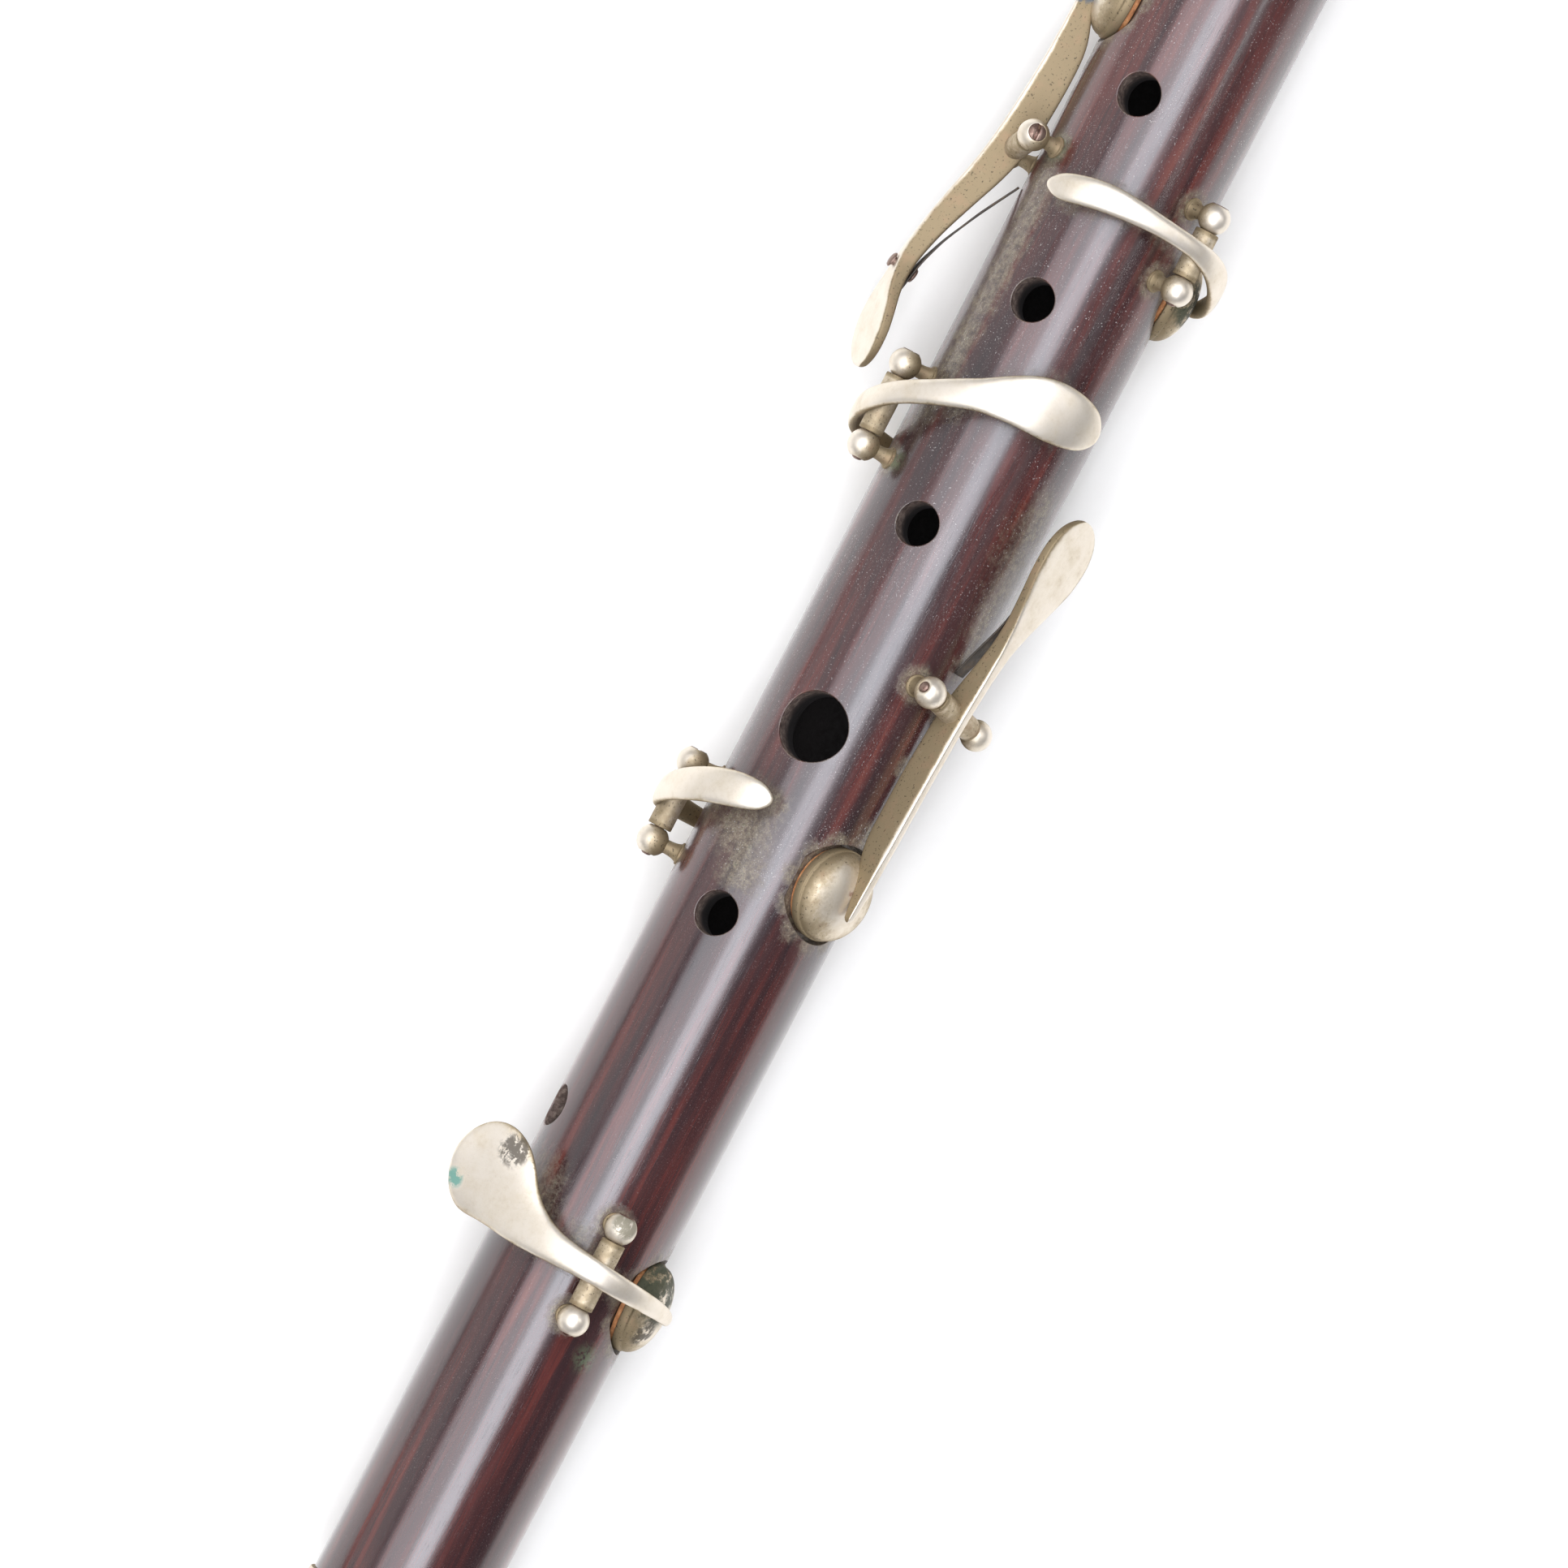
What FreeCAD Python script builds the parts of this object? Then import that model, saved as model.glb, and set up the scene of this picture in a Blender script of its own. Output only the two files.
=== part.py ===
"""Six-keyed simple-system piccolo in wood, with keys on ball-headed posts.

Axes: +X runs along the bore from the foot to the head, +Z is up when the instrument lies with its finger
holes uppermost, and the origin is on the bore axis at the foot end.  Angles about the bore are measured
from +Z towards -Y, in degrees.  All lengths are millimetres.
"""
import FreeCAD, Part
import Sketcher
import math
import os

doc = FreeCAD.newDocument("Piccolo")
sheet = doc.addObject("Spreadsheet::Sheet", "Dimensions")
V = FreeCAD.Vector

# ---------------------------------------------------------------- driving dimensions
DIMENSIONS = {
    # wooden body
    "body_end_x": 198.0,
    "foot_radius": 7.66,
    "body_taper": 0.00375,
    "foot_bore_radius": 4.0,
    "foot_bore_length": 12.0,
    "top_bore_radius": 5.1,
    "socket_floor_x": 181.0,
    "socket_radius": 6.65,
    # end rings
    "foot_ring_length": 1.7,
    "foot_ring_seat_radius": 7.1,
    "foot_ring_radius": 8.05,
    "socket_ring_length": 6.0,
    "socket_ring_seat_radius": 7.85,
    "socket_ring_radius": 8.85,
    # head joint: tenon with its cork, tube, ring, stopper and crown
    "tenon_start_x": 181.6,
    "tenon_radius": 6.35,
    "groove_start_x": 183.5,
    "groove_end_x": 195.5,
    "groove_radius": 5.95,
    "cork_start_x": 183.55,
    "cork_end_x": 195.45,
    "cork_bore_radius": 5.98,
    "cork_radius": 6.61,
    "head_start_x": 198.3,
    "head_end_x": 313.0,
    "head_bore_radius": 5.2,
    "head_low_radius": 8.85,
    "head_lip_radius": 9.15,
    "head_top_radius": 8.6,
    "head_ring_end_x": 202.3,
    "head_ring_seat_radius": 8.0,
    "head_ring_bore_radius": 8.02,
    "head_ring_radius": 9.1,
    "embouchure_x": 292.0,
    "embouchure_length": 9.6,
    "embouchure_width": 8.2,
    "stopper_start_x": 299.5,
    "stopper_end_x": 307.0,
    "stopper_radius": 5.16,
    "crown_plug_x": 308.0,
    "crown_plug_radius": 5.18,
    "crown_base_radius": 8.7,
    "crown_bead_x": 314.6,
    "crown_bead_radius": 9.0,
    "crown_neck_x": 317.6,
    "crown_neck_radius": 8.1,
    "crown_top_x": 319.6,
    "crown_top_radius": 5.2,
    "crown_end_x": 320.2,
    # open holes
    "finger_line_angle": -20.0,
    "side_hole_angle": -74.0,
    "small_hole_radius": 2.0,
    "large_hole_radius": 3.2,
    # pad seats, cups and pads
    "seat_depth": 1.3,
    "seat_radius": 4.75,
    "tone_hole_radius": 2.1,
    "drill_reach": 12.0,
    "seat_cutter_height": 4.0,
    "cup_radius": 4.35,
    "cup_lip": 0.85,
    "cup_height": 3.0,
    "cup_recess_radius": 3.95,
    "cup_recess_depth": 1.3,
    "cup_rise": -0.75,
    "pad_radius": 4.1,
    "pad_neck_radius": 3.92,
    "pad_gap": 0.03,
    # posts, hinge tubes and pivot screws
    "ball_radius": 1.45,
    "ball_facet": 1.25,
    "post_neck_radius": 0.62,
    "post_stem_radius": 0.74,
    "post_foot_radius": 1.05,
    "post_foot_height": 0.45,
    "post_flare_height": 0.5,
    "post_sink": 0.3,
    "post_tang_radius": 0.6,
    "post_tang_length": 1.9,
    "post_cutter_height": 3.0,
    "facet_cutter_length": 1.0,
    "tube_radius": 1.12,
    "tube_bore_radius": 0.55,
    "tube_end_gap": 0.05,
    "screw_radius": 0.5,
    "screw_hole_radius": 0.52,
    "screw_head_radius": 0.8,
    "screw_head_length": 0.4,
    "screw_slot": 0.26,
    # springs and their screws
    "spring_screw_radius": 0.42,
    "spring_screw_head_radius": 0.72,
    "spring_screw_head_height": 0.3,
    "post_clearance": 0.02,
    "screw_stand_out": 0.2,
    "spring_screw_drop": 0.12,
    "spring_drill_start": 1.0,
    "rivet_drill_extra": 2.0,
}

# Open holes of the body: distance from the foot, angle about the bore, radius alias.
OPEN_HOLES = {
    "hole_one": (172.4, "finger_line_angle", "small_hole_radius"),
    "hole_two": (151.6, "finger_line_angle", "small_hole_radius"),
    "hole_three": (131.1, "finger_line_angle", "small_hole_radius"),
    "hole_four": (108.8, "finger_line_angle", "small_hole_radius"),
    "hole_five": (88.6, "finger_line_angle", "large_hole_radius"),
    "hole_six": (70.0, "finger_line_angle", "small_hole_radius"),
    "side_hole": (48.2, "side_hole_angle", "small_hole_radius"),
}

# Keys.  A lever station is (angle, radius from the bore axis, x, width, height, roll of the section).
# The stations run from the tip of the touch to the tip on the cup.  A spring station is the same without
# the roll.  The axle rises above the wood by axle_rise; across is True where the lever lies lengthwise, so
# that its axle lies across the bore, and skew turns that axle away from square.  A flat lever is a bar with
# square edges, and the others are oval in section.
KEYS = {
    "low": {
        "cup_x": 35.6, "cup_angle": 80.0, "across": False,
        "axle_x": 36.8, "axle_angle": 14.9, "axle_rise": 2.75, "skew": 0.0, "spacing": 9.1,
        "lever": [
            (-68.7, 14.25, 41.2, 3.2, 0.7, 0), (-67.6, 13.9, 41.0, 5.6, 0.9, 0),
            (-64.9, 13.0, 40.8, 7.7, 1.05, 0), (-58.8, 12.15, 40.4, 8.9, 1.1, 0),
            (-52.6, 11.35, 40.0, 8.6, 1.15, 0), (-46.5, 10.8, 39.5, 7.6, 1.2, 0),
            (-39.5, 10.4, 38.7, 6.0, 1.2, 0), (-31.0, 10.2, 38.0, 4.7, 1.2, 0),
            (-19.5, 10.3, 37.5, 3.5, 1.2, 0), (-9.0, 10.6, 37.2, 2.7, 1.2, 0),
            (2.5, 11.3, 37.1, 2.35, 1.2, 0), (13.5, 12.05, 36.95, 2.15, 1.1, 0),
            (23.0, 11.95, 36.75, 2.0, 1.1, 0), (34.0, 11.6, 36.6, 1.9, 1.1, 0),
            (46.0, 11.25, 36.4, 1.8, 1.05, 0), (58.0, 10.95, 36.2, 1.6, 1.0, 0),
            (70.0, 10.6, 35.9, 1.4, 0.9, 0), (80.0, 10.35, 35.7, 1.2, 0.8, 0),
            (88.0, 10.25, 35.6, 0.8, 0.6, 0),
        ],
        "spring": [(3.0, 10.45, 37.1, 1.4, 0.2), (-7.0, 9.8, 37.3, 1.4, 0.2), (-16.0, 9.2, 37.6, 1.3, 0.2),
                   (-30.0, 8.4, 38.0, 1.2, 0.2), (-40.0, 8.02, 38.4, 1.1, 0.2)],
        "screw_reach": 0.9, "riveted": False, "flat": False,
    },
    "short_f": {
        "cup_x": 76.6, "cup_angle": -165.0, "across": False,
        "axle_x": 77.0, "axle_angle": -88.0, "axle_rise": 2.75, "skew": 0.0, "spacing": 7.8,
        "lever": [
            (-17.0, 10.55, 81.0, 1.3, 0.6, 0), (-20.0, 10.65, 80.95, 2.3, 0.8, 0),
            (-26.0, 10.8, 80.8, 2.9, 1.0, 0), (-36.0, 11.0, 80.5, 3.3, 1.1, 0),
            (-48.0, 11.3, 79.9, 3.3, 1.1, 0), (-60.0, 11.7, 79.1, 3.2, 1.1, 0),
            (-73.0, 12.05, 78.2, 3.0, 1.1, 0), (-86.0, 12.15, 77.4, 2.7, 1.1, 0),
            (-99.0, 11.9, 77.0, 2.4, 1.1, 0), (-115.0, 11.5, 76.8, 2.1, 1.1, 0),
            (-131.0, 11.15, 76.65, 1.9, 1.05, 0), (-148.0, 10.75, 76.6, 1.7, 0.95, 0),
            (-165.0, 10.48, 76.6, 1.4, 0.8, 0), (-174.0, 10.4, 76.6, 0.9, 0.6, 0),
        ],
        "spring": [(-72.0, 11.2, 78.3, 1.4, 0.2), (-60.0, 10.75, 79.1, 1.4, 0.2), (-50.0, 10.0, 79.7, 1.3, 0.2),
                   (-36.0, 8.7, 80.4, 1.2, 0.2), (-27.0, 8.2, 80.8, 1.1, 0.2)],
        "screw_reach": 0.9, "riveted": False, "flat": False,
    },
    "g_sharp": {
        "cup_x": 114.0, "cup_angle": -165.0, "across": False,
        "axle_x": 117.0, "axle_angle": -70.0, "axle_rise": 2.75, "skew": 0.0, "spacing": 8.1,
        "lever": [
            (45.0, 10.95, 122.75, 2.0, 0.6, 0), (42.5, 11.0, 122.85, 3.2, 0.8, 0),
            (38.0, 11.05, 122.95, 4.2, 1.0, 0), (29.0, 11.1, 123.05, 5.1, 1.1, 0),
            (18.5, 11.1, 123.05, 5.5, 1.15, 0), (9.0, 11.1, 122.9, 5.2, 1.2, 0),
            (-2.0, 11.1, 122.3, 4.2, 1.2, 0), (-13.5, 11.15, 121.5, 3.1, 1.2, 0),
            (-21.0, 11.2, 121.0, 2.75, 1.2, 0), (-37.5, 11.4, 119.7, 2.3, 1.2, 0),
            (-52.0, 11.8, 118.6, 2.2, 1.2, 0), (-64.0, 12.25, 117.4, 2.25, 1.1, 0),
            (-75.0, 12.35, 116.4, 2.35, 1.1, 0), (-87.0, 12.2, 115.5, 2.4, 1.1, 0),
            (-100.0, 12.0, 114.8, 2.3, 1.1, 0), (-116.0, 11.65, 114.3, 2.1, 1.1, 0),
            (-133.0, 11.2, 114.05, 1.9, 1.0, 0), (-150.0, 10.85, 114.0, 1.7, 0.95, 0),
            (-165.0, 10.62, 114.0, 1.4, 0.8, 0), (-174.0, 10.55, 114.0, 0.9, 0.6, 0),
        ],
        "spring": [(-50.0, 10.9, 118.8, 1.4, 0.2), (-39.0, 10.5, 119.6, 1.4, 0.2),
                   (-28.0, 9.9, 120.5, 1.3, 0.2), (-12.0, 8.8, 121.6, 1.2, 0.2), (-3.0, 8.36, 122.2, 1.1, 0.2)],
        "screw_reach": 0.9, "riveted": False, "flat": False,
    },
    "b_flat": {
        "cup_x": 137.4, "cup_angle": 100.0, "across": False,
        "axle_x": 141.3, "axle_angle": 49.0, "axle_rise": 2.75, "skew": 0.0, "spacing": 7.2,
        "lever": [
            (-34.0, 10.75, 141.0, 1.3, 0.6, 0), (-31.0, 10.85, 141.05, 2.1, 0.8, 0),
            (-25.5, 10.95, 141.2, 2.6, 1.0, 0), (-13.5, 11.05, 141.75, 2.7, 1.1, 0),
            (-2.0, 11.1, 142.0, 2.55, 1.15, 0), (9.0, 11.15, 142.0, 2.2, 1.2, 0),
            (20.5, 11.3, 141.95, 1.85, 1.2, 0), (32.0, 11.75, 141.8, 1.7, 1.15, 0),
            (42.0, 12.2, 141.6, 1.8, 1.1, 0), (52.0, 12.4, 141.2, 2.1, 1.1, 0),
            (63.0, 12.35, 140.4, 2.6, 1.1, 0), (74.0, 12.0, 139.4, 3.0, 1.1, 0),
            (84.0, 11.6, 138.5, 2.8, 1.05, 0), (93.0, 11.1, 137.8, 2.2, 0.95, 0),
            (101.0, 10.75, 137.4, 1.6, 0.85, 0), (109.0, 10.6, 137.2, 0.9, 0.65, 0),
        ],
        "spring": [(32.0, 10.9, 141.8, 1.3, 0.2), (20.0, 10.4, 141.95, 1.3, 0.2), (10.0, 9.9, 142.0, 1.3, 0.2),
                   (-6.0, 8.9, 141.95, 1.2, 0.2), (-15.0, 8.44, 141.75, 1.1, 0.2)],
        "screw_reach": 0.9, "riveted": False, "flat": True,
    },
    "long_f": {
        "cup_x": 76.1, "cup_angle": 48.0, "across": True,
        "axle_x": 95.3, "axle_angle": 53.0, "axle_rise": 1.9, "skew": 9.0, "spacing": 9.1,
        "lever": [
            (57.5, 12.6, 115.5, 2.6, 0.7, 0), (57.4, 12.55, 115.0, 4.4, 0.85, 0),
            (57.2, 12.5, 114.0, 6.0, 0.95, 0), (57.0, 12.4, 112.3, 7.0, 1.05, 0),
            (56.7, 12.25, 110.0, 6.6, 1.1, 0), (56.2, 11.95, 107.5, 4.8, 1.15, 0),
            (55.5, 11.6, 105.0, 2.9, 1.25, 0), (54.7, 11.2, 102.5, 1.6, 1.5, 0),
            (53.8, 10.7, 99.5, 1.15, 2.1, 0), (52.6, 10.1, 95.3, 1.05, 2.9, 0),
            (51.0, 9.9, 89.0, 1.0, 3.1, 0), (49.5, 9.9, 82.5, 1.0, 3.1, 0),
            (49.1, 10.0, 80.8, 1.0, 2.9, 0), (48.8, 10.35, 79.4, 1.0, 2.0, 0),
            (48.4, 10.75, 77.0, 0.9, 1.2, 0), (48.0, 10.8, 74.9, 0.6, 0.7, 0),
        ],
        "spring": [(56.7, 11.35, 109.2, 1.8, 0.2), (56.2, 11.0, 106.6, 1.8, 0.2), (55.7, 10.3, 104.0, 1.6, 0.2),
                   (54.8, 9.0, 100.6, 1.5, 0.2), (54.5, 8.3, 98.6, 1.4, 0.2)],
        "screw_reach": 0.9, "riveted": False, "flat": True,
    },
    "c": {
        "cup_x": 159.3, "cup_angle": -82.0, "across": True,
        "axle_x": 143.25, "axle_angle": -80.0, "axle_rise": 2.0, "skew": -15.0, "spacing": 7.7,
        "lever": [
            (-98.0, 14.0, 119.4, 2.4, 0.7, 28), (-98.0, 14.1, 119.9, 4.2, 0.9, 28),
            (-97.8, 14.25, 121.0, 5.8, 1.0, 28), (-97.5, 14.45, 122.8, 6.6, 1.1, 28),
            (-97.1, 14.65, 125.0, 6.0, 1.2, 26), (-96.5, 14.75, 127.2, 4.4, 1.3, 20),
            (-95.8, 14.55, 129.6, 2.6, 1.7, 12), (-94.6, 13.75, 133.2, 1.5, 2.1, 4),
            (-92.3, 12.55, 137.0, 1.15, 2.6, 0), (-90.0, 11.4, 140.5, 1.05, 3.1, 0),
            (-88.0, 10.65, 144.2, 1.0, 3.5, 0), (-85.8, 10.3, 149.0, 1.0, 3.3, 0),
            (-84.4, 10.2, 152.6, 1.0, 3.1, 0), (-84.0, 10.35, 154.4, 1.0, 2.8, 0),
            (-83.4, 10.75, 156.0, 1.0, 1.9, 0), (-82.8, 11.1, 158.6, 0.9, 1.2, 0),
            (-82.0, 11.1, 160.8, 0.6, 0.7, 0),
        ],
        "spring": [(-97.7, 13.92, 127.2, 1.8, 0.2, 20), (-96.7, 13.28, 130.0, 1.8, 0.2, 13),
                   (-95.5, 12.3, 132.6, 1.6, 0.2, 6), (-93.6, 10.5, 136.2, 1.4, 0.2, 0),
                   (-92.0, 8.46, 139.8, 1.2, 0.2, 0)],
        "screw_reach": 2.1, "riveted": True, "flat": True,
    },
}

D = DIMENSIONS
D["socket_ring_start_x"] = D["body_end_x"] - D["socket_ring_length"]
D["body_foot_radius"] = D["foot_radius"] + D["body_taper"] * D["foot_ring_length"]
D["body_top_radius"] = D["foot_radius"] + D["body_taper"] * D["socket_ring_start_x"]
D["foot_ring_bore_radius"] = D["foot_ring_seat_radius"] + D["post_clearance"]
D["socket_ring_bore_radius"] = D["socket_ring_seat_radius"] + D["post_clearance"]

STATION_FIELDS = ("angle", "radius", "x", "width", "height", "roll")
NECK_ENTRY = 0.75  # the neck stops this share of a ball's radius short of the ball's centre
for key_name, key in KEYS.items():
    for field in ("cup_x", "cup_angle", "axle_x", "axle_angle", "axle_rise", "skew", "spacing", "screw_reach"):
        DIMENSIONS[f"{key_name}_{field}"] = key[field]
    for kind in ("lever", "spring"):
        for number, station in enumerate(key[kind]):
            for field, number_value in zip(STATION_FIELDS, station):
                DIMENSIONS[f"{key_name}_{kind}_{number}_{field}"] = number_value
for hole_name, (hole_x, _, _) in OPEN_HOLES.items():
    DIMENSIONS[f"{hole_name}_x"] = hole_x

for row, (alias, number_value) in enumerate(DIMENSIONS.items(), start=1):
    sheet.set(f"A{row}", alias)
    sheet.set(f"B{row}", str(number_value))
    sheet.setAlias(f"B{row}", alias)
doc.recompute()


# ---------------------------------------------------------------- helpers
def size(alias):
    """Return a dimension from the sheet."""
    return float(sheet.get(alias))


def bind(feature, **expressions):
    """Bind properties of a feature to cells of the sheet: names are aliases or sums of them."""
    for prop, expression in expressions.items():
        feature.setExpression(prop, expression)
    return feature


def cell(alias):
    """Return the expression that reads one cell."""
    return f"Dimensions.{alias}"


def radial(angle):
    """Return the unit vector that points out of the bore at an angle."""
    turn = math.radians(angle)
    return V(0, -math.sin(turn), math.cos(turn))


def tangential(angle):
    """Return the unit vector along the circumference, towards larger angles."""
    turn = math.radians(angle)
    return V(0, -math.cos(turn), -math.sin(turn))


def about_bore(x, angle, radius):
    """Return the point at a distance from the foot, an angle and a radius about the bore."""
    return V(x, 0, 0) + radial(angle) * radius


def wood_radius(x):
    """Return the outer radius of the wooden body."""
    return size("foot_radius") + size("body_taper") * x


def standing(x, angle, radius):
    """Return a placement whose local Z points out of the bore and whose local X is the bore's."""
    turn = FreeCAD.Rotation(V(1, 0, 0), V(0, 0, 0), radial(angle), "ZXY")
    return FreeCAD.Placement(about_bore(x, angle, radius), turn)


def pointing(point, direction, side=V(1, 0, 0)):
    """Return a placement at a point whose local Z follows a direction."""
    return FreeCAD.Placement(point, FreeCAD.Rotation(side, V(0, 0, 0), direction, "ZXY"))


def cylinder(name, radius, height, placement):
    """Add a cylinder whose radius and height are expressions."""
    feature = doc.addObject("Part::Cylinder", name)
    bind(feature, Radius=radius, Height=height)
    feature.Placement = placement
    return feature


def fused(name, features):
    """Join features into one solid."""
    feature = doc.addObject("Part::MultiFuse", name)
    feature.Shapes = features
    return feature


def cut(name, base, tools):
    """Cut every tool from a base."""
    tool = tools[0] if len(tools) == 1 else fused(f"{name}_tools", tools)
    feature = doc.addObject("Part::Cut", name)
    feature.Base = base
    feature.Tool = tool
    return feature


def turned(name, outline):
    """Turn an outline of (x alias, radius alias) corners about the X axis into a solid of revolution.

    A corner with None for a coordinate lies on that axis of the outline's sketch.
    """
    body = doc.addObject("PartDesign::Body", name)
    sketch = body.newObject("Sketcher::SketchObject", f"{name}_outline")
    plane = [feature for feature in body.Origin.OriginFeatures if feature.Role == "XY_Plane"][0]
    sketch.AttachmentSupport = [(plane, "")]
    sketch.MapMode = "FlatFace"
    corners = [V(*[size(alias) if alias else 0.0 for alias in corner], 0) for corner in outline]
    for number, start in enumerate(corners):
        sketch.addGeometry(Part.LineSegment(start, corners[(number + 1) % len(corners)]), False)
    for number in range(len(corners)):
        previous = (number - 1) % len(corners)
        sketch.addConstraint(Sketcher.Constraint("Coincident", previous, 2, number, 1))
    for number, corner in enumerate(outline):
        for alias, kind, axis in zip(corner, ("DistanceX", "DistanceY"), (-2, -1)):
            if alias:
                index = sketch.addConstraint(Sketcher.Constraint(kind, -1, 1, number, 1, size(alias)))
                sketch.setExpression(f"Constraints[{index}]", cell(alias))
            else:
                sketch.addConstraint(Sketcher.Constraint("PointOnObject", number, 1, axis))
    turn = body.newObject("PartDesign::Revolution", f"{name}_turn")
    turn.Profile = sketch
    turn.ReferenceAxis = (sketch, ["H_Axis"])
    turn.Angle = 360.0
    return body


def lofted(name, prefix, stations, shape):
    """Loft a bar through sections set square to its route, each with a width and a height cell."""
    route = [about_bore(x, angle, radius) for angle, radius, x, *_ in stations]
    sections = []
    for number, (angle, radius, x, width, height, *roll) in enumerate(stations):
        ahead = route[min(number + 1, len(route) - 1)]
        behind = route[max(number - 1, 0)]
        along = (ahead - behind).normalize()
        turn = FreeCAD.Rotation(V(0, 0, 0), radial(angle + (roll[0] if roll else 0)), along, "ZYX")
        width_cell = cell(f"{prefix}_{number}_width")
        height_cell = cell(f"{prefix}_{number}_height")
        section = doc.addObject(shape, f"{name}_section_{number}")
        if shape == "Part::Ellipse":
            bind(section, MajorRadius=f"{width_cell} / 2", MinorRadius=f"{height_cell} / 2")
            section.Placement = FreeCAD.Placement(route[number], turn)
        else:
            bind(section, Length=width_cell, Width=height_cell)
            corner = turn.multVec(V(-width / 2, -height / 2, 0))
            section.Placement = FreeCAD.Placement(route[number] + corner, turn)
        sections.append(section)
    loft = doc.addObject("Part::Loft", name)
    loft.Sections = sections
    loft.Solid = True
    loft.Ruled = False
    return loft


parts = {}


def keep(node, feature):
    """Name a finished sub-part after its node."""
    feature.Label = node
    parts[node] = feature
    return feature


# ---------------------------------------------------------------- wooden body and its rings
def body_blank():
    """Turn the conical body with its bore, head socket and seats for the two rings."""
    return turned("body_blank", [
        (None, "foot_bore_radius"), ("foot_bore_length", "foot_bore_radius"),
        ("socket_floor_x", "top_bore_radius"), ("socket_floor_x", "socket_radius"),
        ("body_end_x", "socket_radius"), ("body_end_x", "socket_ring_seat_radius"),
        ("socket_ring_start_x", "socket_ring_seat_radius"), ("socket_ring_start_x", "body_top_radius"),
        ("foot_ring_length", "body_foot_radius"), ("foot_ring_length", "foot_ring_seat_radius"),
        (None, "foot_ring_seat_radius"),
    ])


def open_hole_cutters():
    """Drill the finger holes and the side hole square to the bore."""
    cutters = []
    for name, (x, angle_alias, radius_alias) in OPEN_HOLES.items():
        place = standing(x, size(angle_alias), 0)
        cutters.append(cylinder(f"{name}_drill", cell(radius_alias), cell("drill_reach"), place))
    return cutters


def key_cutters(key_name):
    """Cut one key's flat pad seat, its tone hole and the two holes for its posts."""
    x = size(f"{key_name}_cup_x")
    angle = size(f"{key_name}_cup_angle")
    floor = wood_radius(x) - size("seat_depth")
    cutters = [
        cylinder(f"{key_name}_seat_cutter", cell("seat_radius"), cell("seat_cutter_height"),
                 standing(x, angle, floor)),
        cylinder(f"{key_name}_tone_drill", cell("tone_hole_radius"), cell("drill_reach"),
                 standing(x, angle, 0)),
    ]
    for end in (-1, 1):
        ball_x, ball_angle, _ = ball_place(key_name, end)
        sunk = wood_radius(ball_x) - size("post_sink")
        deep = sunk - size("post_tang_length")
        label = "lower" if end < 0 else "upper"
        cutters.append(cylinder(f"{key_name}_{label}_foot_cutter",
                                f"{cell('post_foot_radius')} + {cell('post_clearance')}",
                                cell("post_cutter_height"), standing(ball_x, ball_angle, sunk)))
        cutters.append(cylinder(f"{key_name}_{label}_tang_drill",
                                f"{cell('post_tang_radius')} + {cell('post_clearance')}",
                                cell("post_cutter_height"), standing(ball_x, ball_angle, deep)))
    return cutters


def make_body():
    """Make the wooden body and the metal rings on its two ends."""
    cutters = open_hole_cutters()
    for key_name in KEYS:
        cutters += key_cutters(key_name)
    keep("body_tube", cut("body_wood", body_blank(), cutters))
    keep("foot_ring", turned("foot_ring_solid", [
        (None, "foot_ring_bore_radius"), ("foot_ring_length", "foot_ring_bore_radius"),
        ("foot_ring_length", "foot_ring_radius"), (None, "foot_ring_radius"),
    ]))
    keep("socket_ring", turned("socket_ring_solid", [
        ("socket_ring_start_x", "socket_ring_bore_radius"), ("body_end_x", "socket_ring_bore_radius"),
        ("body_end_x", "socket_ring_radius"), ("socket_ring_start_x", "socket_ring_radius"),
    ]))


# ---------------------------------------------------------------- posts, axles and hinge tubes
def axle(key_name):
    """Return a key's axle: its middle point and its direction."""
    x = size(f"{key_name}_axle_x")
    angle = size(f"{key_name}_axle_angle")
    middle = about_bore(x, angle, wood_radius(x) + size(f"{key_name}_axle_rise"))
    if not KEYS[key_name]["across"]:
        return middle, V(1, 0, 0)
    skew = math.radians(size(f"{key_name}_skew"))
    return middle, tangential(angle) * math.cos(skew) - V(1, 0, 0) * math.sin(skew)


def ball_place(key_name, end):
    """Return the distance from the foot, angle and radius of a post's ball, at one end of the axle."""
    middle, along = axle(key_name)
    centre = middle + along * (end * size(f"{key_name}_spacing") / 2)
    return centre.x, math.degrees(math.atan2(-centre.y, centre.z)), math.hypot(centre.y, centre.z)


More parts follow.
